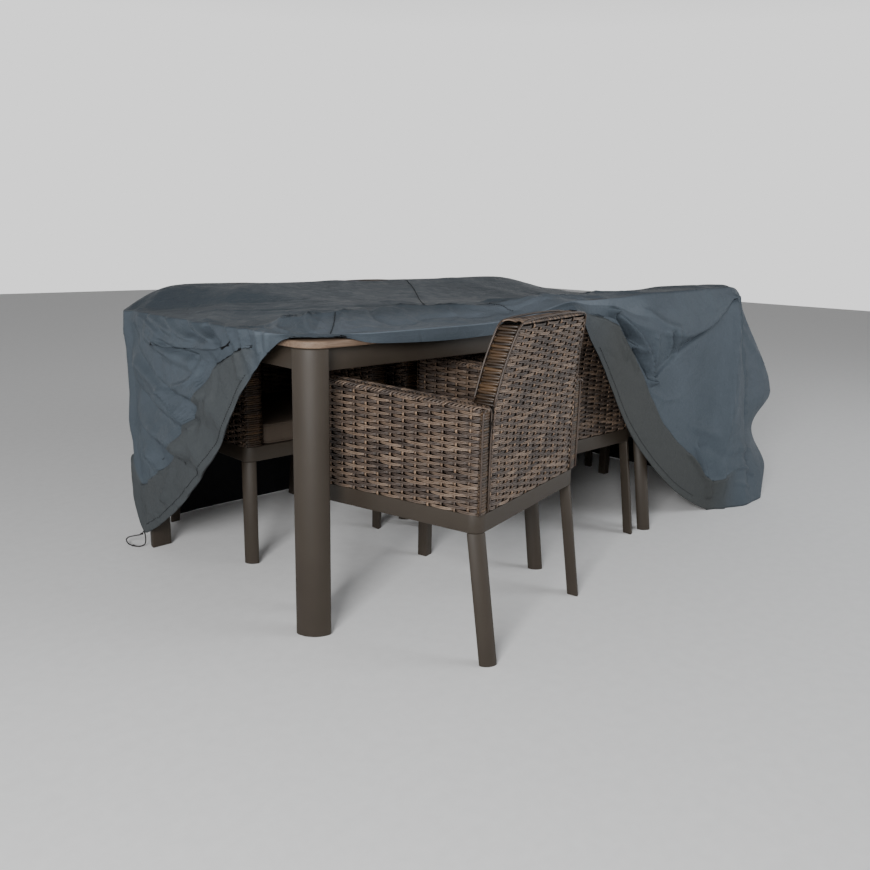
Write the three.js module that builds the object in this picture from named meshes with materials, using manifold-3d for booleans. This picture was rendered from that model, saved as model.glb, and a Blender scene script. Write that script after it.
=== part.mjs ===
// A fitted patio furniture cover, thrown over a dining table and six armchairs.
//
// The cover is one sheet of coated cloth. Its top is stretched from the table's
// near edge up to the chair backs of the far row, its skirt falls to the ground
// around the far side and both ends, and its near skirt is gathered up on the
// table, so that the near corner of the table and one pulled-out chair are bare.
//
// Millimetres, +Z up. X runs along the table, Y across it, away from the side
// that is opened up. The table's near left corner is at TABLE_X, TABLE_Y.

import * as THREE from "three";
import { mergeVertices } from "three/addons/utils/BufferGeometryUtils.js";
import Module from "manifold-3d";

const wasm = await Module();
wasm.setup();

// ---------------------------------------------------------------- sizes

// The origin is the middle of the part's footprint, on the ground.
const TABLE_X = -1087.6;
const TABLE_Y = -369.9;

const GAP = 0.3; // between two pieces that rest on each other

// Table
const TABLE_LENGTH = 2100;
const TABLE_WIDTH = 920;
const TABLE_HEIGHT = 750;
const TOP_THICK = 18;
const LEG_RADIUS = 65; // quarter-round legs, flush with the rounded top corners
const APRON_DEPTH = 58;
const APRON_THICK = 25;
const APRON_INSET = 28;

// Armchair
const SEAT_WIDTH = 540;
const SEAT_DEPTH = 506;
const RAIL_BOTTOM = 326;
const RAIL_HEIGHT = 45;
const WALL = 57; // thickness of the woven arms and back
const ARM_FRONT_HEIGHT = 645;
const ARM_BACK_HEIGHT = 624;
const CHAIR_LEG_RADIUS = 33; // quarter-round, flush with the seat rail's corners
const LEG_RAKE = 46; // how far the back feet stand behind the seat
const CUSHION_THICK = 68;

// The woven back: outer half width and how far it leans back, by height.
const BACK_FORM = [
  { z: RAIL_BOTTOM + RAIL_HEIGHT + GAP, half: 266, lean: 0 },
  { z: 500, half: 250, lean: 1 },
  { z: 624, half: 231, lean: 6 },
  { z: 720, half: 209, lean: 20 },
  { z: 788, half: 191, lean: 36 },
  { z: 804, half: 182, lean: 40 },
  { z: 812, half: 164, lean: 42 },
];

// Each chair: middle of the seat from the table's near left corner, how far it
// is turned (degrees), and the side it faces (+1 away from the opened side).
const CHAIRS = [
  { name: "chair_pulled_out", x: 430, y: -41, turn: 12.8, facing: 1 },
  { name: "chair_near_middle", x: 1059, y: 210, turn: -1.3, facing: 1 },
  { name: "chair_near_right", x: 1626, y: 190, turn: 0, facing: 1 },
  { name: "chair_far_left", x: 427, y: 775, turn: -0.7, facing: -1 },
  { name: "chair_far_middle", x: 1060, y: 778, turn: 0, facing: -1 },
  { name: "chair_far_right", x: 1680, y: 775, turn: 0, facing: -1 },
];

// Cover
const SHEET = 2; // cloth thickness, with its coating
const AROUND = 3; // columns of the sheet from one rib to the next
const SWAG_OUT = 46; // how far the swag under the rim hangs out
const PANEL_OUT = 13; // how far the panel below the recess stands out
const STRIP_OUT = 12; // how far the turned-back strip stands off the panel
const ROLL_UP = 20; // height of the gathered skirt that lies on the table
const HEM_CLEAR = 5; // least height of the hem above the ground

// The line along the middle of the top, where its two halves meet.
const MIDDLE = { x0: 520, x1: 1600, y: 520, z0: 788, z1: 762, half: 70 };

// The cover's ribs, in order around the table from the bare near left corner.
//   x y z     rim, where the cloth turns down
//   mx my mz  a point half-way down the skirt
//   hx hy hz  hem
//   flat      how far the cloth lies level inside the rim
//   roll      how far in the gathered skirt lies on the top (0: not there)
//   swag      height of the lower edge of the swag under the rim (0: none)
//   crease    height at which the panel below the swag starts (0: none)
//   fold      height of the upper edge of the turned-back strip (0: none)
const RIB_COLUMNS = [
  "x", "y", "z", "mx", "my", "mz", "hx", "hy", "hz", "flat", "roll", "swag", "crease", "fold",
];
const RIBS = [
  // gathered up on the table's near edge
  [50, 42, 761, 46, 34, 760, 42, 27, 758, 60, 210, 0, 0, 0],
  [108, 16, 761, 106, 9, 760, 104, 2, 757, 60, 235, 0, 0, 0],
  [190, -10, 762, 188, -16, 750, 186, -18, 738, 60, 250, 0, 0, 0],
  [400, -14, 763, 400, -22, 746, 400, -24, 729, 70, 240, 0, 0, 0],
  [590, -15, 764, 590, -23, 748, 590, -26, 731, 70, 205, 0, 0, 0],
  [745, -30, 776, 745, -40, 760, 745, -46, 742, 60, 150, 0, 0, 0],
  // over the back of the near middle chair
  [858, -88, 816, 852, -112, 808, 848, -126, 796, 70, 145, 0, 0, 0],
  [960, -90, 817, 962, -104, 740, 964, -107, 684, 70, 145, 0, 0, 782],
  [1075, -91, 819, 1075, -106, 670, 1075, -106, 532, 70, 150, 785, 755, 740],
  [1180, -92, 823, 1180, -106, 600, 1180, -106, 394, 70, 150, 735, 645, 630],
  [1290, -98, 831, 1290, -106, 560, 1290, -106, 291, 70, 0, 708, 545, 495],
  [1385, -106, 831, 1392, -107, 520, 1400, -106, 202, 70, 0, 692, 590, 383],
  // over the back of the near right chair
  [1475, -110, 833, 1498, -110, 470, 1520, -108, 118, 70, 0, 683, 640, 298],
  [1590, -111, 835, 1608, -112, 440, 1632, -110, 57, 70, 0, 704, 676, 224],
  [1700, -112, 835, 1722, -124, 420, 1745, -122, 8, 70, 0, 752, 730, 120],
  [1815, -112, 835, 1850, -150, 420, 1900, -190, 5, 70, 0, 800, 790, 0],
  // the fin at the near right corner
  [1900, -92, 818, 2000, -130, 560, 2000, -204, 5, 60, 0, 0, 0, 0],
  [1985, -62, 794, 2240, -112, 520, 2074, -196, 5, 60, 0, 0, 0, 0],
  [2060, -22, 768, 2150, -60, 430, 2110, -140, 6, 60, 0, 0, 0, 0],
  [2108, 0, 757, 2116, -10, 380, 2118, -50, 8, 60, 0, 0, 0, 0],
  // right end
  [2110, 230, 757, 2132, 220, 380, 2142, 210, 8, 60, 0, 0, 0, 0],
  [2110, 560, 757, 2130, 560, 380, 2144, 570, 8, 60, 0, 0, 0, 0],
  [2108, 926, 757, 2120, 950, 380, 2130, 980, 8, 60, 0, 0, 0, 0],
  // far side
  [1880, 1078, 816, 1905, 1096, 420, 1925, 1108, 8, 70, 0, 0, 0, 0],
  [1480, 1079, 816, 1482, 1098, 420, 1484, 1110, 8, 70, 0, 0, 0, 0],
  [1255, 1079, 816, 1252, 1098, 420, 1250, 1110, 8, 70, 0, 0, 0, 0],
  [865, 1079, 816, 862, 1096, 420, 860, 1108, 8, 70, 0, 0, 0, 0],
  [625, 1078, 815, 625, 1096, 420, 625, 1110, 8, 70, 0, 0, 0, 0],
  [228, 1077, 816, 222, 1094, 420, 215, 1106, 8, 70, 0, 0, 0, 0],
  // left end, its hem climbing from the far corner to the bare one
  [-8, 928, 758, -2, 936, 460, -4, 934, 187, 60, 0, 0, 0, 300],
  [-12, 862, 757, -12, 878, 426, -10, 866, 60, 60, 0, 730, 0, 216],
  [-14, 760, 757, -18, 766, 420, -10, 772, 100, 60, 0, 722, 0, 262],
  [-14, 630, 757, -20, 632, 460, -10, 636, 190, 60, 0, 684, 0, 345],
  [-14, 490, 757, -20, 494, 530, -10, 500, 306, 60, 0, 694, 0, 500],
  [-14, 370, 758, -18, 376, 600, -10, 380, 432, 60, 0, 702, 0, 655],
  [-15, 260, 759, -16, 266, 670, -12, 270, 586, 60, 0, 0, 0, 720],
  [-14, 160, 760, -16, 164, 722, -16, 166, 690, 60, 130, 0, 0, 0],
  [-12, 96, 761, -18, 92, 752, -20, 86, 742, 60, 150, 0, 0, 0],
  [10, 64, 762, 2, 58, 761, -6, 50, 758, 60, 180, 0, 0, 0],
].map((row) => Object.fromEntries(row.map((value, i) => [RIB_COLUMNS[i], value])));

// Long soft folds of the skirt: from rib and height to rib and height, half
// width, and how far the fold stands out (minus: in).
const FOLDS = [
  { rib0: 30.2, z0: 620, rib1: 33.4, z1: 380, half: 90, out: 24 },
  { rib0: 29.2, z0: 430, rib1: 31.6, z1: 250, half: 80, out: 9 },
  { rib0: 31.2, z0: 690, rib1: 34.4, z1: 520, half: 70, out: 14 },
  { rib0: 15.0, z0: 760, rib1: 14.2, z1: 90, half: 90, out: 18 },
  { rib0: 16.6, z0: 760, rib1: 15.6, z1: 60, half: 80, out: -18 },
  { rib0: 16.4, z0: 262, rib1: 18.8, z1: 250, half: 150, out: -78 },
  { rib0: 20.0, z0: 700, rib1: 20.3, z1: 30, half: 90, out: 20 },
  { rib0: 21.0, z0: 700, rib1: 20.8, z1: 30, half: 90, out: -14 },
  { rib0: 22.0, z0: 700, rib1: 22.2, z1: 20, half: 90, out: 18 },
  { rib0: 24.4, z0: 760, rib1: 24.6, z1: 20, half: 90, out: 18 },
  { rib0: 26.5, z0: 760, rib1: 26.4, z1: 20, half: 90, out: 18 },
];

// Drawcord: a short loop out of the hem's far left end, knotted twice.
const CORD_RADIUS = 2;
const KNOT_RADIUS = 5.5;
const CORD_STEPS = 44;
const CORD_ROUTE = [
  { x: -20.1, y: 872.5, z: 58.2 },
  { x: -27, y: 872, z: 51, knot: true },
  { x: -38, y: 900, z: 40 },
  { x: -44, y: 935, z: 26 },
  { x: -46, y: 948, z: 14 },
  { x: -47, y: 932, z: 6 },
  { x: -44, y: 900, z: 7, knot: true },
  { x: -30, y: 888, z: 5 },
  { x: -12, y: 888, z: 8 },
  { x: -7, y: 890, z: 26 },
  { x: -13, y: 887, z: 58 },
  { x: -21.2, y: 884.5, z: 79.2 },
];

// ---------------------------------------------------------------- materials

const CLOTH = new THREE.MeshStandardMaterial({ color: 0x4d5760, roughness: 0.55, metalness: 0 });
const METAL = new THREE.MeshStandardMaterial({ color: 0x6f6760, roughness: 0.5, metalness: 0.3 });
const WOOD = new THREE.MeshStandardMaterial({ color: 0xa8825e, roughness: 0.6, metalness: 0 });
const WICKER = new THREE.MeshStandardMaterial({ color: 0x7c6554, roughness: 0.7, metalness: 0 });
const CUSHION = new THREE.MeshStandardMaterial({ color: 0x8f7b69, roughness: 0.9, metalness: 0 });
const CORD = new THREE.MeshStandardMaterial({ color: 0x1d1d20, roughness: 0.8, metalness: 0 });

// ---------------------------------------------------------------- helpers

const product = new THREE.Group();
const furniture = new THREE.Group();
furniture.position.set(TABLE_X, TABLE_Y, 0);
product.add(furniture);

function addMesh(parent, name, geometry, material) {
  const mesh = new THREE.Mesh(geometry, material);
  mesh.name = name;
  parent.add(mesh);
  return mesh;
}

function positionOnly(geometry) {
  geometry.deleteAttribute("normal");
  geometry.deleteAttribute("uv");
  return mergeVertices(geometry, 1e-4);
}

function toSolid(geometry) {
  const merged = positionOnly(geometry.clone());
  const mesh = new wasm.Mesh({
    numProp: 3,
    vertProperties: new Float32Array(merged.attributes.position.array),
    triVerts: new Uint32Array(merged.index.array),
  });
  return new wasm.Manifold(mesh);
}

function fromSolid(solid) {
  const mesh = solid.getMesh();
  const geometry = new THREE.BufferGeometry();
  geometry.setAttribute("position", new THREE.BufferAttribute(mesh.vertProperties, 3));
  geometry.setIndex(new THREE.BufferAttribute(mesh.triVerts, 1));
  return geometry;
}

function roundedRectangle(x0, y0, x1, y1, radius) {
  const shape = new THREE.Shape();
  shape.moveTo(x0 + radius, y0);
  shape.lineTo(x1 - radius, y0);
  shape.absarc(x1 - radius, y0 + radius, radius, -Math.PI / 2, 0, false);
  shape.lineTo(x1, y1 - radius);
  shape.absarc(x1 - radius, y1 - radius, radius, 0, Math.PI / 2, false);
  shape.lineTo(x0 + radius, y1);
  shape.absarc(x0 + radius, y1 - radius, radius, Math.PI / 2, Math.PI, false);
  shape.lineTo(x0, y0 + radius);
  shape.absarc(x0 + radius, y0 + radius, radius, Math.PI, 1.5 * Math.PI, false);
  return shape;
}

function slab(shape, bottom, height, curveSegments = 6) {
  const options = { depth: height, bevelEnabled: false, curveSegments };
  const geometry = new THREE.ExtrudeGeometry(shape, options);
  geometry.translate(0, 0, bottom);
  return positionOnly(geometry);
}

// A closed body from a stack of rings of equal length, each a list of Vector3
// that runs counterclockwise seen from the side of the last ring.
function loft(rings) {
  const count = rings[0].length;
  const positions = rings.flat().flatMap((p) => [p.x, p.y, p.z]);
  const index = [];
  for (let r = 0; r + 1 < rings.length; r += 1) {
    for (let i = 0; i < count; i += 1) {
      const a = r * count + i;
      const b = r * count + ((i + 1) % count);
      index.push(a, b, b + count, a, b + count, a + count);
    }
  }
  const last = (rings.length - 1) * count;
  for (let i = 1; i + 1 < count; i += 1) {
    index.push(0, i + 1, i);
    index.push(last, last + i, last + i + 1);
  }
  const geometry = new THREE.BufferGeometry();
  geometry.setAttribute("position", new THREE.Float32BufferAttribute(positions, 3));
  geometry.setIndex(index);
  return geometry;
}

// A four-sided body between rectangles [x0, x1, y0, y1] at given heights.
function tower(levels) {
  return loft(
    levels.map(({ z, x0, x1, y0, y1 }) => [
      new THREE.Vector3(x0, y0, z),
      new THREE.Vector3(x1, y0, z),
      new THREE.Vector3(x1, y1, z),
      new THREE.Vector3(x0, y1, z),
    ]),
  );
}

// ---------------------------------------------------------------- table

function quarterRoundLeg() {
  const shape = new THREE.Shape();
  shape.moveTo(LEG_RADIUS, LEG_RADIUS);
  shape.lineTo(0, LEG_RADIUS);
  shape.absarc(LEG_RADIUS, LEG_RADIUS, LEG_RADIUS, Math.PI, 1.5 * Math.PI, false);
  shape.lineTo(LEG_RADIUS, LEG_RADIUS);
  return slab(shape, 0, TABLE_HEIGHT - TOP_THICK - GAP, 12);
}

function addTable() {
  const top = roundedRectangle(0, 0, TABLE_LENGTH, TABLE_WIDTH, LEG_RADIUS);
  addMesh(furniture, "table_top", slab(top, TABLE_HEIGHT - TOP_THICK, TOP_THICK, 8), WOOD);

  const corners = [
    { name: "table_leg_near_left", x: 0, y: 0, turn: 0 },
    { name: "table_leg_near_right", x: TABLE_LENGTH, y: 0, turn: 90 },
    { name: "table_leg_far_right", x: TABLE_LENGTH, y: TABLE_WIDTH, turn: 180 },
    { name: "table_leg_far_left", x: 0, y: TABLE_WIDTH, turn: 270 },
  ];
  for (const { name, x, y, turn } of corners) {
    const leg = addMesh(furniture, name, quarterRoundLeg(), METAL);
    leg.position.set(x, y, 0);
    leg.rotation.z = THREE.MathUtils.degToRad(turn);
  }

  const z1 = TABLE_HEIGHT - TOP_THICK - GAP;
  const z0 = z1 - APRON_DEPTH;
  const inner = LEG_RADIUS + GAP;
  const outer = APRON_INSET;
  const rails = [
    {
      name: "apron_near",
      x0: inner, x1: TABLE_LENGTH - inner, y0: outer, y1: outer + APRON_THICK,
    },
    {
      name: "apron_far",
      x0: inner, x1: TABLE_LENGTH - inner,
      y0: TABLE_WIDTH - outer - APRON_THICK, y1: TABLE_WIDTH - outer,
    },
    {
      name: "apron_left",
      x0: outer, x1: outer + APRON_THICK, y0: inner, y1: TABLE_WIDTH - inner,
    },
    {
      name: "apron_right",
      x0: TABLE_LENGTH - outer - APRON_THICK, x1: TABLE_LENGTH - outer,
      y0: inner, y1: TABLE_WIDTH - inner,
    },
  ];
  for (const rail of rails) {
    addMesh(furniture, rail.name, tower([{ ...rail, z: z0 }, { ...rail, z: z1 }]), METAL);
  }
}

// ---------------------------------------------------------------- armchairs

// In a chair's own frame the seat's middle is the origin and +Y is the way it
// faces, so the back stands at -Y.
function wovenShell() {
  const bottom = RAIL_BOTTOM + RAIL_HEIGHT + GAP;
  const rear = -SEAT_DEPTH / 2;
  const back = tower(
    BACK_FORM.map(({ z, half, lean }) => ({
      z, x0: -half, x1: half, y0: rear - lean, y1: rear - lean + WALL,
    })),
  );
  let shell = toSolid(back);
  for (const side of [-1, 1]) {
    const outside = (side * SEAT_WIDTH) / 2;
    const inside = outside - side * WALL;
    const x0 = Math.min(outside, inside);
    const x1 = Math.max(outside, inside);
    const front = SEAT_DEPTH / 2;
    const arm = loft([
      [
        new THREE.Vector3(x0, rear, bottom),
        new THREE.Vector3(x1, rear, bottom),
        new THREE.Vector3(x1, front, bottom),
        new THREE.Vector3(x0, front, bottom),
      ],
      [
        new THREE.Vector3(x0, rear, ARM_BACK_HEIGHT),
        new THREE.Vector3(x1, rear, ARM_BACK_HEIGHT),
        new THREE.Vector3(x1, front, ARM_FRONT_HEIGHT),
        new THREE.Vector3(x0, front, ARM_FRONT_HEIGHT),
      ],
    ]);
    shell = shell.add(toSolid(arm));
  }
  return fromSolid(shell);
}

function seatFrame() {
  const x = SEAT_WIDTH / 2;
  const y = SEAT_DEPTH / 2;
  const outline = roundedRectangle(-x, -y, x, y, CHAIR_LEG_RADIUS);
  return slab(outline, RAIL_BOTTOM, RAIL_HEIGHT, 6);
}

// side and end tell the seat's corner (-1 or 1 each), and rake how far the foot
// stands outside it.
function chairLeg(side, end, rake) {
  const x = side * (SEAT_WIDTH / 2 - CHAIR_LEG_RADIUS);
  const y = end * (SEAT_DEPTH / 2 - CHAIR_LEG_RADIUS);
  const section = (z, shift) => {
    const ring = [new THREE.Vector3(x, y + shift, z)];
    for (let step = 0; step <= 6; step += 1) {
      const angle = (step / 6) * (Math.PI / 2);
      const across = side * CHAIR_LEG_RADIUS * Math.cos(angle);
      const along = end * CHAIR_LEG_RADIUS * Math.sin(angle);
      ring.push(new THREE.Vector3(x + across, y + along + shift, z));
    }
    return side * end > 0 ? ring : ring.reverse();
  };
  return loft([section(0, end * rake), section(RAIL_BOTTOM - GAP, 0)]);
}

function seatCushion() {
  const x = SEAT_WIDTH / 2 - WALL - 4;
  const y0 = -SEAT_DEPTH / 2 + WALL + 4;
  const y1 = SEAT_DEPTH / 2 - 6;
  const z0 = RAIL_BOTTOM + RAIL_HEIGHT + GAP;
  const levels = [
    { up: 0, draw: 10 },
    { up: 12, draw: 0 },
    { up: CUSHION_THICK - 14, draw: 0 },
    { up: CUSHION_THICK, draw: 16 },
  ];
  return loft(
    levels.map(({ up, draw }) => {
      const outline = roundedRectangle(-x + draw, y0 + draw, x - draw, y1 - draw, 34 - draw);
      const points = outline.getPoints(2).slice(0, -1);
      return points.map((p) => new THREE.Vector3(p.x, p.y, z0 + up));
    }),
  );
}

function addChair({ name, x, y, turn, facing }) {
  const chair = new THREE.Group();
  chair.position.set(x, y, 0);
  chair.rotation.z = THREE.MathUtils.degToRad(turn + (facing > 0 ? 0 : 180));
  furniture.add(chair);

  addMesh(chair, `${name}_shell`, wovenShell(), WICKER);
  addMesh(chair, `${name}_seat_frame`, seatFrame(), METAL);
  addMesh(chair, `${name}_cushion`, seatCushion(), CUSHION);
  const legs = [
    { at: "leg_back_left", side: -1, end: -1, rake: LEG_RAKE },
    { at: "leg_back_right", side: 1, end: -1, rake: LEG_RAKE },
    { at: "leg_front_left", side: -1, end: 1, rake: 0 },
    { at: "leg_front_right", side: 1, end: 1, rake: 0 },
  ];
  for (const { at, side, end, rake } of legs) {
    addMesh(chair, `${name}_${at}`, chairLeg(side, end, rake), METAL);
  }
}

// ---------------------------------------------------------------- cover

// A smooth closed curve through three columns of the ribs.
function ribCurve(a, b, c) {
  const points = RIBS.map((rib) => new THREE.Vector3(rib[a], rib[b], rib[c]));
  return new THREE.CatmullRomCurve3(points, true, "catmullrom", 0.4);
}

// How strongly a feature is there: 1 at ribs that have it, 0 at the others.
function presence(column) {
  const points = RIBS.map((rib) => new THREE.Vector3(rib[column] > 0 ? 1 : 0, 0, 0));
  const curve = new THREE.CatmullRomCurve3(points, true, "catmullrom", 0.2);
  return (t) => THREE.MathUtils.clamp(curve.getPoint(t).x, 0, 1);
}

// A feature's value between ribs; ribs without it take the given stand-in.
function columnValue(column, standIn) {
  const points = RIBS.map((rib) => new THREE.Vector3(rib[column] || standIn(rib), 0, 0));
  const curve = new THREE.CatmullRomCurve3(points, true, "catmullrom", 0.3);
  return (t) => curve.getPoint(t).x;
}

// The sum of the long folds at a place on the skirt.
function foldsAt(rib, z) {
  const pitch = 150; // millimetres from rib to rib, about
  let sum = 0;
  for (const { rib0, z0, rib1, z1, half, out } of FOLDS) {
    const ax = (rib1 - rib0) * pitch;
    const az = z1 - z0;
    const length = Math.hypot(ax, az);
    const px = (rib - rib0) * pitch;
    const pz = z - z0;
    const along = (px * ax + pz * az) / length;
    const across = (px * az - pz * ax) / length;
    if (Math.abs(across) >= half) continue;
    const ends = THREE.MathUtils.smoothstep(along, -half, half)
      * (1 - THREE.MathUtils.smoothstep(along, length - half, length + half));
    sum += out * ends * 0.5 * (1 + Math.cos((Math.PI * across) / half));
  }
  return sum;
}

// Heights of the rows of one column, from the rim down to the hem, with rows
// placed on both sides of the swag's edge, the crease and the strip's fold.
function rowHeights(top, bottom, swag, crease, fold) {
  const length = top - bottom;
  const step = Math.min(10, length * 0.04);
  const lines = [
    top,
    THREE.MathUtils.lerp(top, swag, 0.5),
    swag + step / 2,
    swag - step / 2,
    crease + step / 2,
    crease - step / 2,
    THREE.MathUtils.lerp(crease, fold, 0.25),
    THREE.MathUtils.lerp(crease, fold, 0.5),
    THREE.MathUtils.lerp(crease, fold, 0.75),
    fold + step / 2,
    fold - step / 2,
    THREE.MathUtils.lerp(fold, bottom, 0.5),
    bottom,
  ];
  return lines;
}

function coverGrid() {
  const rim = ribCurve("x", "y", "z");
  const middle = ribCurve("mx", "my", "mz");
  const hem = ribCurve("hx", "hy", "hz");
  const flatAt = columnValue("flat", () => 60);
  const rollAt = columnValue("roll", () => 300);
  const swagAt = columnValue("swag", (rib) => rib.z - 0.15 * (rib.z - rib.hz));
  const creaseAt = columnValue("crease", (rib) => rib.z - 0.3 * (rib.z - rib.hz));
  const foldAt = columnValue("fold", (rib) => rib.hz + 0.2 * (rib.z - rib.hz));
  const hasRoll = presence("roll");
  const hasSwag = presence("swag");
  const hasCrease = presence("crease");
  const hasFold = presence("fold");

  const count = RIBS.length * AROUND;
  const columns = [];
  for (let i = 0; i < count; i += 1) {
    const t = i / count;
    const edge = rim.getPoint(t);
    const half = middle.getPoint(t);
    const end = hem.getPoint(t);
    end.z = Math.max(end.z, HEM_CLEAR);

    // from the middle of the top out to the rim
    const x = THREE.MathUtils.clamp(edge.x, MIDDLE.x0, MIDDLE.x1);
    const along = (x - MIDDLE.x0) / (MIDDLE.x1 - MIDDLE.x0);
    const z = THREE.MathUtils.lerp(MIDDLE.z0, MIDDLE.z1, along);
    const centre = new THREE.Vector3(x, MIDDLE.y, z);
    const out = new THREE.Vector3(edge.x - x, edge.y - MIDDLE.y, 0).normalize();
    centre.addScaledVector(out, MIDDLE.half);
    const shoulder = edge.clone().addScaledVector(out, -flatAt(t));
    const run = shoulder.clone().sub(centre).setZ(0).length();
    const roll = THREE.MathUtils.clamp((rollAt(t) - flatAt(t)) / run, 0.15, 0.85);
    const column = [];
    for (const inward of [1, (1 + roll) / 2 + 0.06, roll + 0.04, roll - 0.04, roll * 0.66, roll * 0.3, 0]) {
      const point = shoulder.clone().lerp(centre, inward);
      if (inward < roll) {
        point.z += ROLL_UP * hasRoll(t) * (0.55 + 0.45 * (inward / roll));
      }
      column.push(point);
    }

    // from the rim down to the hem
    const profile = new THREE.CatmullRomCurve3([edge, half, end], false, "catmullrom", 0.3);
    const swag = swagAt(t);
    const crease = Math.min(creaseAt(t), swag - 2);
    const fold = Math.min(foldAt(t), crease - 2);
    for (const height of rowHeights(edge.z, end.z, swag, crease, fold)) {
      const down = (edge.z - height) / (edge.z - end.z);
      const point = profile.getPoint(down);
      point.z = height;
      let stand = 0;
      if (height > swag) {
        const depth = Math.min(1, (edge.z - swag) / 110);
        stand += SWAG_OUT * depth * hasSwag(t) * ((edge.z - height) / (edge.z - swag));
      }
      if (height < crease) {
        stand += PANEL_OUT * hasCrease(t);
      }
      if (height < fold) {
        stand += STRIP_OUT * hasFold(t);
      }
      stand += foldsAt(i / AROUND, height) * THREE.MathUtils.smoothstep(edge.z - height, 0, 60);
      point.addScaledVector(out, stand);
      column.push(point);
    }
    columns.push(column);
  }
  return columns;
}

// Thickens a grid of columns (closed around, open at both ends of each column)
// into one closed sheet; the ring of first rows is closed by a flat patch.
function thicken(columns, thickness) {
  const around = columns.length;
  const rows = columns[0].length;
  const centre = new THREE.Vector3();
  for (const column of columns) {
    centre.addScaledVector(column[0], 1 / around);
  }
  const normals = columns.map((column, i) =>
    column.map((point, r) => {
      const next = columns[(i + 1) % around];
      const prev = columns[(i + around - 1) % around];
      const side = next[r].clone().sub(prev[r]);
      const up = column[Math.max(r - 1, 0)].clone().sub(column[Math.min(r + 1, rows - 1)]);
      return side.cross(up).normalize();
    }),
  );
  const positions = [];
  const push = (p, n, d) => positions.push(p.x + n.x * d, p.y + n.y * d, p.z + n.z * d);
  for (const d of [thickness / 2, -thickness / 2]) {
    columns.forEach((column, i) => column.forEach((p, r) => push(p, normals[i][r], d)));
    push(centre, new THREE.Vector3(0, 0, 1), d);
  }
  const layer = around * rows + 1;
  const id = (i, r) => (i % around) * rows + r;
  const index = [];
  for (let i = 0; i < around; i += 1) {
    for (let r = 0; r + 1 < rows; r += 1) {
      const [a, b, c, d] = [id(i, r), id(i + 1, r), id(i + 1, r + 1), id(i, r + 1)];
      index.push(a, c, b, a, d, c);
      index.push(layer + a, layer + b, layer + c, layer + a, layer + c, layer + d);
    }
    const [a, b] = [id(i, 0), id(i + 1, 0)];
    index.push(layer - 1, a, b);
    index.push(2 * layer - 1, layer + b, layer + a);
    const [e, f] = [id(i, rows - 1), id(i + 1, rows - 1)];
    index.push(e, layer + f, f, e, layer + e, layer + f);
  }
  const geometry = new THREE.BufferGeometry();
  geometry.setAttribute("position", new THREE.Float32BufferAttribute(positions, 3));
  geometry.setIndex(index);
  return geometry;
}

function addCover() {
  addMesh(furniture, "cover", thicken(coverGrid(), SHEET), CLOTH);
}

function addDrawcord() {
  const points = CORD_ROUTE.map(({ x, y, z }) => new THREE.Vector3(x, y, z));
  const section = new THREE.Shape();
  section.absarc(0, 0, CORD_RADIUS, 0, 2 * Math.PI, false);
  const tube = new THREE.ExtrudeGeometry(section, {
    steps: CORD_STEPS,
    curveSegments: 4,
    bevelEnabled: false,
    extrudePath: new THREE.CatmullRomCurve3(points, false, "centripetal"),
  });
  let cord = toSolid(tube);
  for (const { x, y, z } of CORD_ROUTE.filter((point) => point.knot)) {
    const knot = new THREE.IcosahedronGeometry(KNOT_RADIUS, 1).translate(x, y, z);
    cord = cord.add(toSolid(knot));
  }
  addMesh(furniture, "drawcord", fromSolid(cord), CORD);
}

// ---------------------------------------------------------------- assembly

addTable();
CHAIRS.forEach(addChair);
addCover();
addDrawcord();
product.updateMatrixWorld(true);

export default product;
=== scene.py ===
# %% [markdown]
# # A patio furniture cover over a dining table and six armchairs
#
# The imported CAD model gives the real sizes. This script dresses it: the cover becomes
# creased cloth with stitched edges, the chairs are woven strand by strand, the seat
# cushions get their piping, and the table gets oiled wood and powder-coated metal.
#
# Everything is in metres, +Z up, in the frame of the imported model.

import bmesh
import bpy
import numpy as np
from mathutils import Matrix, Vector
from mathutils.bvhtree import BVHTree


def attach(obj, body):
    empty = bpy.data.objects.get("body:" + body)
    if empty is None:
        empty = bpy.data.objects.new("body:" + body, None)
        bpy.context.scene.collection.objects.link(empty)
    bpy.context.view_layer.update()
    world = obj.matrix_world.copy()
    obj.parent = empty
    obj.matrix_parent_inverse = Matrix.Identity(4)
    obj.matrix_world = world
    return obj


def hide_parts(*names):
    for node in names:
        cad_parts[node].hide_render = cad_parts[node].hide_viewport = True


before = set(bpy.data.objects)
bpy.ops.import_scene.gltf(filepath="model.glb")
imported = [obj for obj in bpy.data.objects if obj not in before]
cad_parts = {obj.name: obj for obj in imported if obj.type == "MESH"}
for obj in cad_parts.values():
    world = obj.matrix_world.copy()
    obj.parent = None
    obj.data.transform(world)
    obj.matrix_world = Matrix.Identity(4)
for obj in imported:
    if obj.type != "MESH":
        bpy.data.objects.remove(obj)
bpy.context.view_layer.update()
MM = 0.001
TABLE = np.array([-1087.6, -369.9, 0.0]) * MM  # the table's near left corner
rng = np.random.default_rng(12)

# %% [markdown]
# ## Camera
#
# The camera stands at eye height for someone sitting, in front of the near left corner
# of the table and turned about 45 degrees to it. It is placed by its position, its
# heading, a downward tilt and a slight roll. The axes are worked out one by one rather
# than with a tracking constraint, because a constraint cannot hold the roll.

# %% Camera
CAMERA_PLACE = TABLE + np.array([-1112.8, -1554.1, 990.0]) * MM
CAMERA_HEADING = np.array([0.698789, 0.715328])
CAMERA_TILT = np.radians(13.6756)
CAMERA_ROLL = np.radians(1.23785)
CAMERA_LENS = 34.295
CAMERA_SHIFT = (0.0038, 0.0046)


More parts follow.
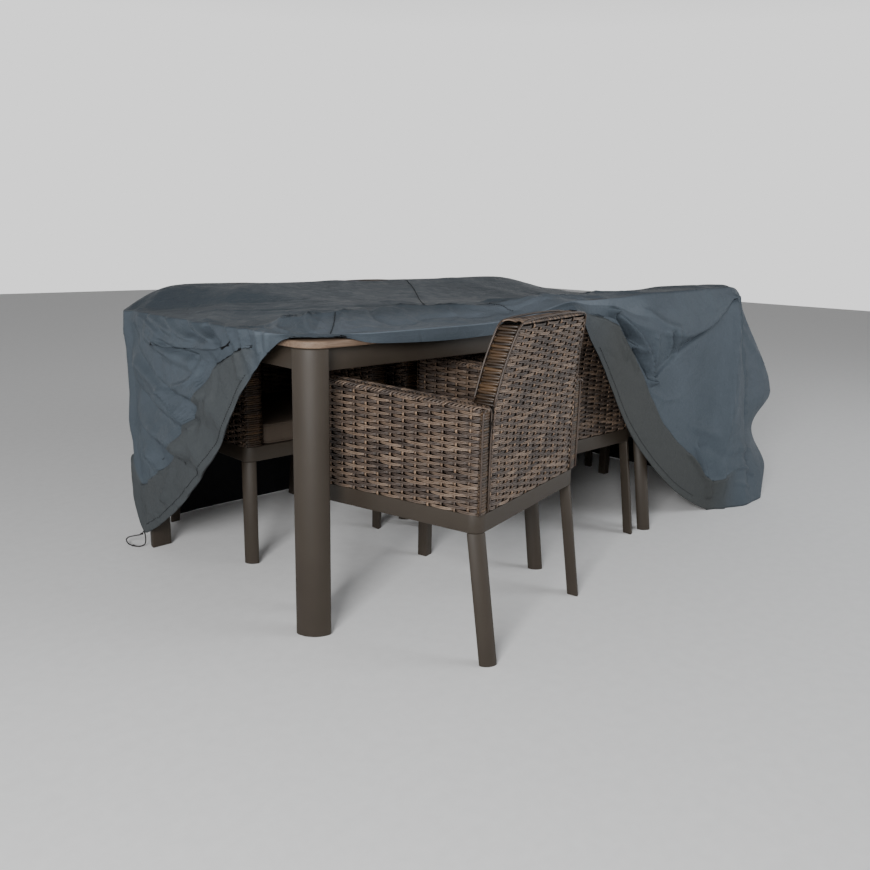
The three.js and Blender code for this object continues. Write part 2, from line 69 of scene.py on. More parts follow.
def camera_matrix():
    """The camera's pose: it looks along its own -Z, with +Y up."""
    hx, hy = CAMERA_HEADING
    forward = Vector((np.cos(CAMERA_TILT) * hx, np.cos(CAMERA_TILT) * hy, -np.sin(CAMERA_TILT)))
    level = Vector((hy, -hx, 0.0))
    upward = Vector((np.sin(CAMERA_TILT) * hx, np.sin(CAMERA_TILT) * hy, np.cos(CAMERA_TILT)))
    right = level * np.cos(CAMERA_ROLL) + upward * np.sin(CAMERA_ROLL)
    up = upward * np.cos(CAMERA_ROLL) - level * np.sin(CAMERA_ROLL)
    pose = Matrix((right, up, -forward)).transposed().to_4x4()
    pose.translation = Vector(CAMERA_PLACE)
    return pose


camera = bpy.data.objects.new("camera", bpy.data.cameras.new("camera"))
bpy.context.scene.collection.objects.link(camera)
camera.data.sensor_width = 36
camera.data.lens = CAMERA_LENS
camera.data.shift_x, camera.data.shift_y = CAMERA_SHIFT
camera.matrix_world = camera_matrix()
bpy.context.scene.camera = camera
print("camera at", [round(v, 3) for v in camera.location])

# %% [markdown]
# ## Helpers
#
# A few small helpers serve all the pieces: one turns points and faces into a mesh
# object, one puts a finished piece on the model, one makes node materials, and one
# lays a round tube along a path. Each finished piece keeps its place in its vertices,
# so its object stays at the origin.


# %% Helpers
def make_object(name, points, faces, smooth=True):
    """A mesh object from a list of points and a list of faces."""
    mesh = bpy.data.meshes.new(name)
    mesh.from_pydata([tuple(p) for p in points], [], [tuple(f) for f in faces])
    mesh.update()
    if smooth:
        mesh.shade_smooth()
    obj = bpy.data.objects.new(name, mesh)
    bpy.context.scene.collection.objects.link(obj)
    return obj


def finish_piece(obj, material, replaced=()):
    """Gives a piece its material and body, and hides the CAD nodes it stands for."""
    obj.data.materials.clear()
    obj.data.materials.append(material)
    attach(obj, "root")
    if replaced:
        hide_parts(*replaced)
    return obj


# %% Material recipes
class Recipe:
    """A material under construction: node() adds a node and links what it is given."""

    def __init__(self, name, roughness=0.5, specular=0.5):
        self.material = bpy.data.materials.new(name)
        self.material.use_nodes = True
        self.tree = self.material.node_tree
        self.shader = self.tree.nodes["Principled BSDF"]
        self.shader.inputs["Roughness"].default_value = roughness
        self.shader.inputs["Specular IOR Level"].default_value = specular

    def node(self, kind, settings=None, **inputs):
        made = self.tree.nodes.new("ShaderNode" + kind)
        for key, value in (settings or {}).items():
            setattr(made, key, value)
        for key, value in inputs.items():
            self.set(made, key.replace("_", " "), value)
        return made

    def set(self, made, key, value):
        socket = made.inputs[int(key)] if key.isdigit() else made.inputs[key]
        if isinstance(value, bpy.types.NodeSocket):
            self.tree.links.new(value, socket)
        else:
            socket.default_value = value

    def place(self, scale=(1, 1, 1)):
        """Object coordinates, in metres times scale."""
        where = self.node("TexCoord").outputs["Object"]
        return self.node("Mapping", Vector=where, Scale=scale).outputs["Vector"]

    def noise(self, where, scale, detail=4.0, roughness=0.55, **more):
        made = self.node("TexNoise", Vector=where, Scale=scale, Detail=detail, Roughness=roughness, **more)
        return made.outputs["Fac"]

    def ramp(self, factor, stops):
        """Colours along a factor: stops are (place, grey) or (place, (r, g, b))."""
        made = self.node("ValToRGB", Fac=factor)
        elements = made.color_ramp.elements
        while len(elements) < len(stops):
            elements.new(0.5)
        for element, (place, colour) in zip(elements, stops):
            rgb = (colour,) * 3 if isinstance(colour, (int, float)) else colour
            element.position = place
            element.color = (*rgb, 1)
        return made.outputs["Color"]

    def mix(self, factor, a, b, blend="MIX"):
        made = self.node("Mix", {"data_type": "RGBA", "blend_type": blend})
        self.set(made, "0", factor)
        for index, value in (("6", a), ("7", b)):
            value = (*value, 1) if isinstance(value, tuple) and len(value) == 3 else value
            self.set(made, index, value)
        return made.outputs[2]

    def maths(self, operation, *values):
        made = self.node("Math", {"operation": operation})
        for index, value in enumerate(values):
            self.set(made, str(index), value)
        return made.outputs[0]

    def attribute(self, name):
        return self.node("Attribute", {"attribute_name": name}).outputs["Fac"]

    def bump(self, height, strength, distance, over=None):
        made = self.node("Bump", Height=height, Strength=strength, Distance=distance)
        if over is not None:
            self.set(made, "Normal", over)
        return made.outputs["Normal"]

    def done(self, colour=None, roughness=None, normal=None):
        for key, value in (("Base Color", colour), ("Roughness", roughness), ("Normal", normal)):
            if value is not None:
                value = (*value, 1) if isinstance(value, tuple) and len(value) == 3 else value
                self.set(self.shader, key, value)
        return self.material


# %% Round tubes
def ring_faces(rings, count):
    """Faces of a skin over equal rings of points, one ring after another, closed at both ends."""
    faces = []
    for k in range(rings - 1):
        for j in range(count):
            a, b = k * count + j, k * count + (j + 1) % count
            faces.append((a, b, b + count, a + count))
    faces.append(tuple(range(count))[::-1])
    faces.append(tuple(range((rings - 1) * count, rings * count)))
    return faces


def tube(path, radius, sides=10):
    """Points and faces of a round tube along a path, its frame carried from step to step."""
    path = np.asarray(path, float)
    tangents = np.gradient(path, axis=0)
    tangents /= np.linalg.norm(tangents, axis=1)[:, None]
    side = np.cross(tangents[0], [0.0, 0.0, 1.0])
    if np.linalg.norm(side) < 1e-3:
        side = np.cross(tangents[0], [0.0, 1.0, 0.0])
    turn = np.arange(sides) * 2 * np.pi / sides
    rings = []
    for place, along in zip(path, tangents):
        side = side - along * (side @ along)
        side /= np.linalg.norm(side)
        other = np.cross(along, side)
        rings.append(place + radius * (np.cos(turn)[:, None] * side + np.sin(turn)[:, None] * other))
    return np.concatenate(rings), ring_faces(len(path), sides)


# %% [markdown]
# ## The drawcord
#
# The cover is drawn tight with a thin cord that runs in its hem. At the far left foot
# of the table a short loop of it hangs out, with two small knots, and lies on the
# ground. It is made before the other pieces because its route and its length are
# fixed by the model: the same route points are repeated here. A smooth curve through
# them gives the centreline, and a braided tube follows it. A Blender curve with a
# bevel would give the same tube. Here one small function lays the rings, and the
# chairs' borders and the cushions' piping use it again.

# %% Drawcord route
CORD_RADIUS = 2.0 * MM
KNOT_RADIUS = 5.5 * MM
CORD_ROUTE = TABLE + MM * np.array([
    (-20.1, 872.5, 58.2),
    (-27, 872, 51),  # first knot
    (-38, 900, 40),
    (-44, 935, 26),
    (-46, 948, 14),
    (-47, 932, 6),
    (-44, 900, 7),  # second knot
    (-30, 888, 5),
    (-12, 888, 8),
    (-7, 890, 26),
    (-13, 887, 58),
    (-21.2, 884.5, 79.2),
])
KNOTS = CORD_ROUTE[[1, 6]]


def smooth_route(points, steps=12):
    """A centripetal curve through the points, as the CAD model's own."""
    ends = np.vstack([2 * points[0] - points[1], points, 2 * points[-1] - points[-2]])
    line = []
    for p0, p1, p2, p3 in zip(ends, ends[1:], ends[2:], ends[3:]):
        d0, d1, d2 = (max(np.linalg.norm(b - a) ** 0.5, 1e-4) for a, b in ((p0, p1), (p1, p2), (p2, p3)))
        m1 = ((p1 - p0) / d0 - (p2 - p0) / (d0 + d1) + (p2 - p1) / d1) * d1
        m2 = ((p2 - p1) / d1 - (p3 - p1) / (d1 + d2) + (p3 - p2) / d2) * d1
        for w in np.arange(steps) / steps:
            a, b = 2 * w**3 - 3 * w**2 + 1, w**3 - 2 * w**2 + w
            c, d = -2 * w**3 + 3 * w**2, w**3 - w**2
            line.append(a * p1 + b * m1 + c * p2 + d * m2)
    return np.array([*line, points[-1]])


print("route points:", len(CORD_ROUTE), "and after smoothing:", len(smooth_route(CORD_ROUTE)))


# %% Drawcord
def cord_material():
    recipe = Recipe("braided_cord", roughness=0.75, specular=0.3)
    where = recipe.place()
    diagonal = {"bands_direction": "DIAGONAL"}
    wave = recipe.node("TexWave", diagonal, Vector=where, Scale=160.0, Distortion=1.5)
    braid = wave.outputs["Fac"]
    colour = recipe.ramp(braid, [(0.2, (0.012, 0.012, 0.014)), (0.9, (0.05, 0.045, 0.045))])
    return recipe.done(colour=colour, normal=recipe.bump(braid, 0.6, 0.0005))


def cord_knot(name, centre, material):
    """A knot: the cord goes one and a half turns round itself, drawn tight."""
    turn = np.linspace(0, 2 * np.pi * 1.5, 30)
    ring = np.stack([np.cos(turn), np.sin(turn), 0.5 * np.sin(turn / 1.5)], axis=1)
    points, faces = tube(centre + 0.55 * KNOT_RADIUS * ring, CORD_RADIUS * 0.95, 8)
    knot = make_object(name, points, faces)
    return finish_piece(knot, material)


def make_drawcord():
    line = smooth_route(CORD_ROUTE)
    material = cord_material()
    cord = make_object("drawcord_loop", *tube(line, CORD_RADIUS))
    finish_piece(cord, material, ["drawcord"])
    knots = [cord_knot(f"drawcord_knot_{i}", centre, material) for i, centre in enumerate(KNOTS)]
    length = float(np.linalg.norm(np.diff(line, axis=0), axis=1).sum())
    return length


print("drawcord length, m:", round(make_drawcord(), 3))

# %% [markdown]
# ## The cover's form
#
# The cover is one big sheet. Its shape is told by ribs that stand around the table:
# each says where the cloth turns down at the rim, a point half-way down, and its hem.
# Further columns say where a swag hangs out under the rim, where the panel below it
# starts, and where the turned-back strip along the hem begins. Smooth curves run from
# rib to rib, so the same short table that shaped the CAD sheet also shapes this finer
# one, and both stay in step. A cloth simulation would drape it too, but its folds fall
# where the solver leaves them. Told by a table, each fold has a place of its own and
# can be moved by hand.

# %% Cover table
RIB_COLUMNS = [
    "x", "y", "z", "mx", "my", "mz", "hx", "hy", "hz", "flat", "roll", "swag", "crease", "fold",
]
RIBS = np.array([
    # gathered up on the table's near edge
    [50, 42, 761, 46, 34, 760, 42, 27, 758, 60, 210, 0, 0, 0],
    [108, 16, 761, 106, 9, 760, 104, 2, 757, 60, 235, 0, 0, 0],
    [190, -10, 762, 188, -16, 750, 186, -18, 738, 60, 250, 0, 0, 0],
    [400, -14, 763, 400, -22, 746, 400, -24, 729, 70, 240, 0, 0, 0],
    [590, -15, 764, 590, -23, 748, 590, -26, 731, 70, 205, 0, 0, 0],
    [745, -30, 776, 745, -40, 760, 745, -46, 742, 60, 150, 0, 0, 0],
    # over the back of the near middle chair
    [858, -88, 816, 852, -112, 808, 848, -126, 796, 70, 145, 0, 0, 0],
    [960, -90, 817, 962, -104, 740, 964, -107, 684, 70, 145, 0, 0, 782],
    [1075, -91, 819, 1075, -106, 670, 1075, -106, 532, 70, 150, 785, 755, 740],
    [1180, -92, 823, 1180, -106, 600, 1180, -106, 394, 70, 150, 735, 645, 630],
    [1290, -98, 831, 1290, -106, 560, 1290, -106, 291, 70, 0, 708, 545, 495],
    [1385, -106, 831, 1392, -107, 520, 1400, -106, 202, 70, 0, 692, 590, 383],
    # over the back of the near right chair
    [1475, -110, 833, 1498, -110, 470, 1520, -108, 118, 70, 0, 683, 640, 298],
    [1590, -111, 835, 1608, -112, 440, 1632, -110, 57, 70, 0, 704, 676, 224],
    [1700, -112, 835, 1722, -124, 420, 1745, -122, 8, 70, 0, 752, 730, 120],
    [1815, -112, 835, 1850, -150, 420, 1900, -190, 5, 70, 0, 800, 790, 0],
    # the fin at the near right corner
    [1900, -92, 818, 2000, -130, 560, 2000, -204, 5, 60, 0, 0, 0, 0],
    [1985, -62, 794, 2240, -112, 520, 2074, -196, 5, 60, 0, 0, 0, 0],
    [2060, -22, 768, 2150, -60, 430, 2110, -140, 6, 60, 0, 0, 0, 0],
    [2108, 0, 757, 2116, -10, 380, 2118, -50, 8, 60, 0, 0, 0, 0],
    # right end
    [2110, 230, 757, 2132, 220, 380, 2142, 210, 8, 60, 0, 0, 0, 0],
    [2110, 560, 757, 2130, 560, 380, 2144, 570, 8, 60, 0, 0, 0, 0],
    [2108, 926, 757, 2120, 950, 380, 2130, 980, 8, 60, 0, 0, 0, 0],
    # far side
    [1880, 1078, 816, 1905, 1096, 420, 1925, 1108, 8, 70, 0, 0, 0, 0],
    [1480, 1079, 816, 1482, 1098, 420, 1484, 1110, 8, 70, 0, 0, 0, 0],
    [1255, 1079, 816, 1252, 1098, 420, 1250, 1110, 8, 70, 0, 0, 0, 0],
    [865, 1079, 816, 862, 1096, 420, 860, 1108, 8, 70, 0, 0, 0, 0],
    [625, 1078, 815, 625, 1096, 420, 625, 1110, 8, 70, 0, 0, 0, 0],
    [228, 1077, 816, 222, 1094, 420, 215, 1106, 8, 70, 0, 0, 0, 0],
    # left end, its hem climbing from the far corner to the bare one
    [-8, 928, 758, -2, 936, 460, -4, 934, 187, 60, 0, 0, 0, 300],
    [-12, 862, 757, -12, 878, 426, -10, 866, 60, 60, 0, 730, 0, 216],
    [-14, 760, 757, -18, 766, 420, -10, 772, 100, 60, 0, 722, 0, 262],
    [-14, 630, 757, -20, 632, 460, -10, 636, 190, 60, 0, 684, 0, 345],
    [-14, 490, 757, -20, 494, 530, -10, 500, 306, 60, 0, 694, 0, 500],
    [-14, 370, 758, -18, 376, 600, -10, 380, 432, 60, 0, 702, 0, 655],
    [-15, 260, 759, -16, 266, 670, -12, 270, 586, 60, 0, 0, 0, 720],
    [-14, 160, 760, -16, 164, 722, -16, 166, 690, 60, 130, 0, 0, 0],
    [-12, 96, 761, -18, 92, 752, -20, 86, 742, 60, 150, 0, 0, 0],
    [10, 64, 762, 2, 58, 761, -6, 50, 758, 60, 180, 0, 0, 0],
]) * MM
RIB = {name: RIBS[:, column] for column, name in enumerate(RIB_COLUMNS)}

SHEET = 2.0 * MM
SWAG_OUT = 46 * MM  # how far the swag under the rim hangs out
PANEL_OUT = 13 * MM  # how far the panel below the recess stands out
STRIP_OUT = 12 * MM  # how far the turned-back strip stands off the panel
ROLL_UP = 30 * MM  # height of the gathered skirt that lies on the table
HEM_CLEAR = 5 * MM
MIDDLE = {  # the line on the top that the columns start from, and how far round it they start
    "x0": 520 * MM, "x1": 1600 * MM, "y": 520 * MM, "z0": 788 * MM, "z1": 762 * MM, "half": 70 * MM,
}

# long folds: rib and height at one end, the same at the other, half width, out (minus: in)
FOLDS = [
    (30.2, 620, 33.4, 380, 90, 24),
    (29.2, 430, 31.6, 250, 80, 9),
    (31.2, 690, 34.4, 520, 70, 14),
    (15.0, 760, 14.2, 90, 90, 18),
    (16.6, 760, 15.6, 60, 80, -18),
    (16.4, 262, 18.8, 250, 150, -78),
    (20.0, 700, 20.3, 30, 90, 20),
    (21.0, 700, 20.8, 30, 90, -14),
    (22.0, 700, 22.2, 20, 90, 18),
    (24.4, 760, 24.6, 20, 90, 18),
    (26.5, 760, 26.4, 20, 90, 18),
]
print("ribs:", len(RIBS), "long folds:", len(FOLDS))


# %% Cover curves
def hermite(p0, p1, p2, p3, w, tension):
    """A smooth step from p1 to p2, w from 0 to 1."""
    m1, m2 = tension * (p2 - p0), tension * (p3 - p1)
    w2, w3 = w * w, w * w * w
    return (2 * w3 - 3 * w2 + 1) * p1 + (w3 - 2 * w2 + w) * m1 + (3 * w2 - 2 * w3) * p2 + (w3 - w2) * m2


def around(values, t, tension):
    """Values given at the ribs, at places t around the closed loop of ribs."""
    n = len(values)
    i = np.floor(t).astype(int)
    w = t - i
    if values.ndim == 2:
        w = w[..., None]
    return hermite(values[(i - 1) % n], values[i % n], values[(i + 1) % n], values[(i + 2) % n], w, tension)


def rib_curve(t, a, b, c):
    return around(np.stack([RIB[a], RIB[b], RIB[c]], axis=1), t, 0.4)


def presence(t, name):
    """1 where the ribs have this feature, 0 where they do not."""
    return np.clip(around((RIB[name] > 0).astype(float), t, 0.2), 0, 1)


def column_value(t, name, stand_in):
    return around(np.where(RIB[name] > 0, RIB[name], stand_in), t, 0.3)


def smoothstep(x, a, b):
    s = np.clip((x - a) / (b - a), 0, 1)
    return s * s * (3 - 2 * s)


# %% Cover columns
class Columns:
    """What the rib table says at places t around the cover."""

    def __init__(self, t):
        self.t = np.asarray(t, float)
        self.rim = rib_curve(self.t, "x", "y", "z")
        self.half = rib_curve(self.t, "mx", "my", "mz")
        self.hem = rib_curve(self.t, "hx", "hy", "hz")
        self.hem[:, 2] = np.maximum(self.hem[:, 2], HEM_CLEAR)
        drop = RIB["z"] - RIB["hz"]
        self.flat = column_value(self.t, "flat", 60 * MM)
        self.roll = column_value(self.t, "roll", 300 * MM)
        self.swag = column_value(self.t, "swag", RIB["z"] - 0.15 * drop)
        self.crease = np.minimum(column_value(self.t, "crease", RIB["z"] - 0.3 * drop), self.swag - 2 * MM)
        self.fold = np.minimum(column_value(self.t, "fold", RIB["hz"] + 0.2 * drop), self.crease - 2 * MM)
        self.has = {name: presence(self.t, name) for name in ("roll", "swag", "crease", "fold")}
        x = np.clip(self.rim[:, 0], MIDDLE["x0"], MIDDLE["x1"])
        share = (x - MIDDLE["x0"]) / (MIDDLE["x1"] - MIDDLE["x0"])
        z = MIDDLE["z0"] + share * (MIDDLE["z1"] - MIDDLE["z0"])
        self.centre = np.stack([x, np.full_like(x, MIDDLE["y"]), z], axis=1)
        away = (self.rim - self.centre) * [1, 1, 0]
        self.out = away / np.linalg.norm(away, axis=1)[:, None]

    def side(self, z):
        """The skirt's plain surface at heights z, an array of columns by rows."""
        e, h, d = (p[:, None, :] for p in (self.rim, self.half, self.hem))
        down = np.clip((e[..., 2] - z) / (e[..., 2] - d[..., 2]), 0, 1)
        upper = hermite(2 * e - h, e, h, d, (2 * down)[..., None], 0.3)
        lower = hermite(e, h, d, 2 * d - h, (2 * down - 1)[..., None], 0.3)
        points = np.where((down < 0.5)[..., None], upper, lower)
        points[..., 2] = z
        return points


def long_folds(t, z):
    """The sum of the long folds at places t, z of the skirt."""
    pitch = 150 * MM  # about the distance from rib to rib
    total = np.zeros(np.broadcast(t, z).shape)
    for rib0, z0, rib1, z1, half, out in FOLDS:
        ax, az = (rib1 - rib0) * pitch, (z1 - z0) * MM
        length = np.hypot(ax, az)
        px, pz = (t - rib0) * pitch, z - z0 * MM
        along = (px * ax + pz * az) / length
        across = (px * az - pz * ax) / length
        half *= MM
        ends = smoothstep(along, -half, half) * (1 - smoothstep(along, length - half, length + half))
        wave = np.where(np.abs(across) < half, 0.5 * (1 + np.cos(np.pi * across / half)), 0)
        total += out * MM * ends * wave
    return total


# %% [markdown]
# ## The cover's surface
#
# The sheet is built as a grid: columns go around, rows go from the middle of the top
# out to the rim and down to the hem. Rows crowd together where the cloth bends hard,
# at the rim, under the swag and at the edge of the turned-back strip. The swag is a
# belly: the cloth swells out from the rim, turns under at its lip and comes back to
# the skirt below, where a crisp crease starts the next panel.

# %% Rows of the top
RIM_ROUND = 9 * MM
CURL = 10 * MM  # how far the lip at the left end dips and climbs again
TUCK = 55 * MM  # height in which the belly comes back where no panel starts below it
PLAIN_RIBS = range(19, 28)  # the right end and the far side


def cover_columns():
    """Places around the cover: closer together where the cloth is folded most."""
    places = []
    for rib in range(len(RIBS)):
        steps = 8 if rib in PLAIN_RIBS else 12
        places.extend(rib + np.arange(steps) / steps)
    return np.array(places)


def top_rows(c):
    """Rows from the middle of the top to the rim."""
    shoulder = c.rim - c.out * c.flat[:, None]
    ring = c.centre + c.out * MIDDLE["half"]
    run = np.linalg.norm((shoulder - ring)[:, :2], axis=1)
    roll = np.clip((c.roll - c.flat) / run, 0.1, 0.85)
    # the gathered strip gets lower towards the back of the near middle chair
    roll_up = ROLL_UP * c.has["roll"] * (1 - 0.6 * smoothstep(c.t, 4.5, 7) * (c.t < 12))
    rows = [c.centre + c.out * MIDDLE["half"] * inner for inner in (0.12, 0.5)]
    for step in np.linspace(0, 1, 42):
        inward = 1 - step
        point = ring + (shoulder - ring) * step
        hump = smoothstep(roll - inward, -0.012, 0.02) * (0.2 + 0.8 * np.minimum(1, inward / roll))
        point[:, 2] += roll_up * hump
        rows.append(point)
    lift = roll_up * 0.2
    for step in np.linspace(0, 1, 9)[1:]:
        point = shoulder + (c.rim - shoulder) * step * (1 - RIM_ROUND / c.flat)[:, None]
        point[:, 2] += lift * (1 - smoothstep(np.full_like(lift, step), 0, 1))
        rows.append(point)
    return rows


# %% Rows of the skirt
def skirt_rows(c):
    """Rows from the rim down to the hem: the belly, the crease, the panel, the strip."""
    top, bottom = c.rim[:, 2], c.hem[:, 2]
    swag, panel_here = c.has["swag"], c.has["crease"]
    depth = np.minimum(1, (top - c.swag) / (110 * MM))
    swell = SWAG_OUT * depth * swag
    curl = CURL * depth * swag * (1 - panel_here)
    tuck = TUCK + (np.maximum(c.swag - c.crease, 8 * MM) - TUCK) * panel_here
    panel = PANEL_OUT * panel_here
    strip = STRIP_OUT * c.has["fold"] * smoothstep(c.fold - bottom, 30 * MM, 150 * MM)
    rows, bases = [], []

    def add(z, stand):
        base = c.side(np.asarray(z)[:, None])[:, 0]
        base[:, 2] = z
        rows.append(base + c.out * stand[:, None])
        bases.append(base)

    # from the rim to the lip of the swag, which rounds in at its lower edge
    for share in (0.012, 0.05, *np.linspace(0.1, 1, 20)):
        z = top + (c.swag - curl - top) * share
        add(z, swell * share**0.85 * (1 - 0.10 * smoothstep(np.full_like(z, share), 0.8, 1)))
    # under the lip and back to the skirt, down to the crease
    start = c.swag - curl
    for share in np.linspace(0.06, 1, 20):
        z = start + (c.crease - start) * share
        z = z + curl * 1.6 * smoothstep(np.full_like(z, share), 0, 0.12) * (share < 0.5)
        back = np.clip((start - z + 1.6 * curl) / tuck, 0, 1)
        ledge = panel * smoothstep(np.full_like(z, share), 0.93, 1)
        add(np.minimum(z, top - 2 * MM), swell * (0.90 * (1 - smoothstep(back, -0.25, 1))) + ledge * 0.5)
    # the panel, down to the edge of the turned-back strip
    for share in np.linspace(0.02, 1, 46):
        z = c.crease + (c.fold - c.crease) * share
        add(z, panel * (0.5 + 0.5 * smoothstep(np.full_like(z, share), 0, 0.03)))
    # the strip's rounded edge, then the strip down to the hem
    for share, out in ((0.012, 0.5), (0.03, 0.9), (0.055, 1.05), (0.09, 1.0)):
        add(c.fold + (bottom - c.fold) * share, panel + strip * out)
    for share in np.linspace(0.13, 1, 26):
        # beside the bare chair the strip leans back towards its hem
        add(c.fold + (bottom - c.fold) * share, panel + strip * (1 - 0.9 * panel_here * share))
    return rows, bases


# %% Cover grid
def grid_normals(grid):
    """Unit normals of a grid of columns, closed around, open along the columns."""
    side = np.roll(grid, -1, axis=0) - np.roll(grid, 1, axis=0)
    along = np.empty_like(grid)
    along[:, 1:-1] = grid[:, :-2] - grid[:, 2:]
    along[:, 0] = grid[:, 0] - grid[:, 1]
    along[:, -1] = grid[:, -2] - grid[:, -1]
    normal = np.cross(side, along)
    size = np.linalg.norm(normal, axis=2)[..., None]
    return normal / np.maximum(size, 1e-12)


columns = Columns(cover_columns())
top_part = np.stack(top_rows(columns), axis=1)
skirt_part, skirt_base = (np.stack(rows, axis=1) for rows in skirt_rows(columns))
TOP_COUNT = top_part.shape[1]
print("cover grid:", len(columns.t), "columns by", TOP_COUNT, "+", skirt_part.shape[1], "rows")

# %% [markdown]
# ## Creases
#
# Cloth that was folded in a bag and thrown over furniture has creases with a place and
# a direction. Each is a short path with a width on either side and a height. On the
# skirt a path is told by rib and height above the ground, on the top by x and y from
# the table's corner. Where the two widths differ, one flank is steeper than the other
# and catches the light differently. Sculpting could make such creases as well, but
# numbers can be read, compared and changed one at a time. A fine crumple of many
# plane waves lies over them all.

# %% Crease tables
# path of (rib, height); width to the left and to the right; out (minus: in)
SKIRT_CREASES = [
    # left end: folds that fan out from the far corner
    ([(30.2, 742), (30.8, 662), (31.7, 593), (32.4, 562), (33.4, 556)], 70, 22, 13),
    ([(30.5, 620), (31.6, 562), (32.1, 545), (32.7, 508)], 26, 34, 11),
    ([(29.7, 512), (30.6, 450), (31.7, 407), (32.6, 390)], 60, 48, 20),
    ([(29.9, 560), (30.9, 505), (31.8, 470), (32.6, 446)], 28, 28, -9),
    ([(31.8, 545), (32.3, 499), (33.0, 466)], 9, 14, 10),
    ([(32.0, 560), (32.6, 512), (33.2, 482)], 16, 9, -8),
    ([(30.1, 430), (30.7, 361), (31.4, 300)], 34, 20, 13),
    ([(29.6, 400), (30.3, 330), (31.0, 270)], 20, 20, -8),
    ([(33.35, 650), (33.0, 597), (32.4, 570)], 9, 12, 5),
    ([(32.9, 658), (33.2, 609), (33.6, 572)], 8, 14, 5),
    ([(31.8, 690), (32.5, 676), (33.2, 668)], 12, 22, -9),
    ([(31.2, 700), (31.9, 668), (32.9, 640)], 26, 30, 7),
    # left end: crumpled cloth along the pouch under the rim
    ([(32.0, 752), (32.5, 724), (33.1, 712)], 8, 12, 6),
    ([(32.6, 754), (32.9, 732), (33.6, 716)], 7, 10, -6),
    ([(33.0, 756), (33.3, 738), (33.9, 722)], 8, 9, 7),
    ([(31.2, 752), (31.7, 735), (32.4, 716)], 10, 16, 5),
    ([(33.5, 752), (33.9, 731), (34.2, 712)], 7, 9, -9),
    ([(30.6, 748), (31.1, 738), (31.8, 712)], 12, 22, 6),
    # left end: pleats where the gathered cloth comes over the edge
    ([(34.5, 757), (34.9, 700), (35.1, 640)], 12, 16, 7),
    ([(35.0, 757), (35.4, 690), (35.6, 655)], 12, 10, 8),
    ([(35.3, 758), (35.6, 705)], 9, 9, -6),
    ([(35.7, 760), (35.9, 712)], 9, 12, 7),
    ([(36.2, 760), (36.3, 722)], 8, 10, 5),
    # left end: the turned-back strip
    ([(34.0, 640), (33.9, 560), (33.7, 500)], 16, 26, 5),
    ([(33.6, 560), (33.4, 505)], 8, 10, 4),
    ([(32.0, 318), (31.75, 251), (31.6, 205)], 12, 22, 9),
    ([(30.2, 170), (30.8, 140), (31.2, 120)], 12, 20, 5),
    ([(30.0, 120), (30.5, 100)], 10, 12, -4),
    # right part: pleats beside the bare chair
    ([(7.9, 786), (8.55, 735), (9.13, 694), (9.83, 607), (10.1, 541)], 12, 22, 17),
    ([(8.05, 776), (8.5, 726), (8.9, 690)], 9, 13, -20),
    ([(9.15, 652), (9.5, 612), (9.9, 560)], 12, 15, -16),
    ([(8.75, 676), (9.4, 650)], 10, 12, 12),
    ([(9.35, 628), (9.75, 590)], 8, 9, 7),
    ([(8.3, 680), (8.7, 640), (9.0, 600)], 12, 18, 6),
    ([(7.9, 745), (8.1, 690), (8.4, 640)], 9, 16, 5),
    # right part: gathers on the swag's underside
    ([(10.5, 702), (10.9, 655), (11.05, 620)], 9, 9, 6),
    ([(10.8, 700), (11.2, 655), (11.3, 625)], 7, 8, -6),
    ([(11.05, 697), (11.4, 655), (11.6, 628)], 7, 9, 6),
    ([(11.5, 693), (11.8, 660)], 8, 10, 3),
    ([(9.9, 690), (10.4, 600)], 22, 22, 5),
    ([(9.6, 770), (10.4, 730), (11.2, 712)], 22, 26, 5),
    # right part: fine creases that hang from the near right corner
    ([(14.95, 800), (14.63, 557), (14.5, 397), (14.37, 292), (14.17, 205)], 5, 22, 7),
    ([(15.6, 800), (15.7, 640), (15.9, 470), (16.2, 330)], 6, 16, 7),
    ([(16.1, 790), (16.6, 640), (16.8, 520)], 14, 14, 5),
    ([(14.4, 8), (14.33, 80), (14.25, 190)], 22, 20, 8),
    ([(13.0, 345), (13.6, 322), (14.1, 300)], 22, 34, 6),
    ([(13.3, 262), (13.9, 250), (14.3, 200)], 20, 20, -5),
    ([(13.2, 262), (13.6, 180), (13.8, 120), (13.9, 60)], 22, 14, 9),
    ([(12.6, 250), (13.1, 205), (13.5, 150)], 10, 18, 5),
    ([(14.5, 225), (15.1, 232), (16.2, 200)], 12, 16, 6),
    ([(14.6, 165), (15.3, 150), (16.0, 110)], 14, 14, 6),
    ([(15.2, 195), (15.9, 170)], 12, 12, -5),
    ([(14.8, 100), (15.5, 70)], 16, 16, 4),
    ([(10.3, 500), (11.0, 470), (11.8, 468)], 16, 20, 2.5),
    # far side and right end
    ([(20.5, 740), (20.8, 500), (20.6, 300)], 30, 30, 8),
    ([(23.0, 790), (23.4, 500), (23.2, 200)], 40, 30, 12),
    ([(25.4, 790), (25.7, 520), (25.5, 120)], 40, 40, 14),
    ([(27.6, 790), (27.5, 480), (27.8, 150)], 40, 30, 14),
    ([(24.0, 700), (25.0, 640), (26.0, 700)], 60, 60, 8),
]
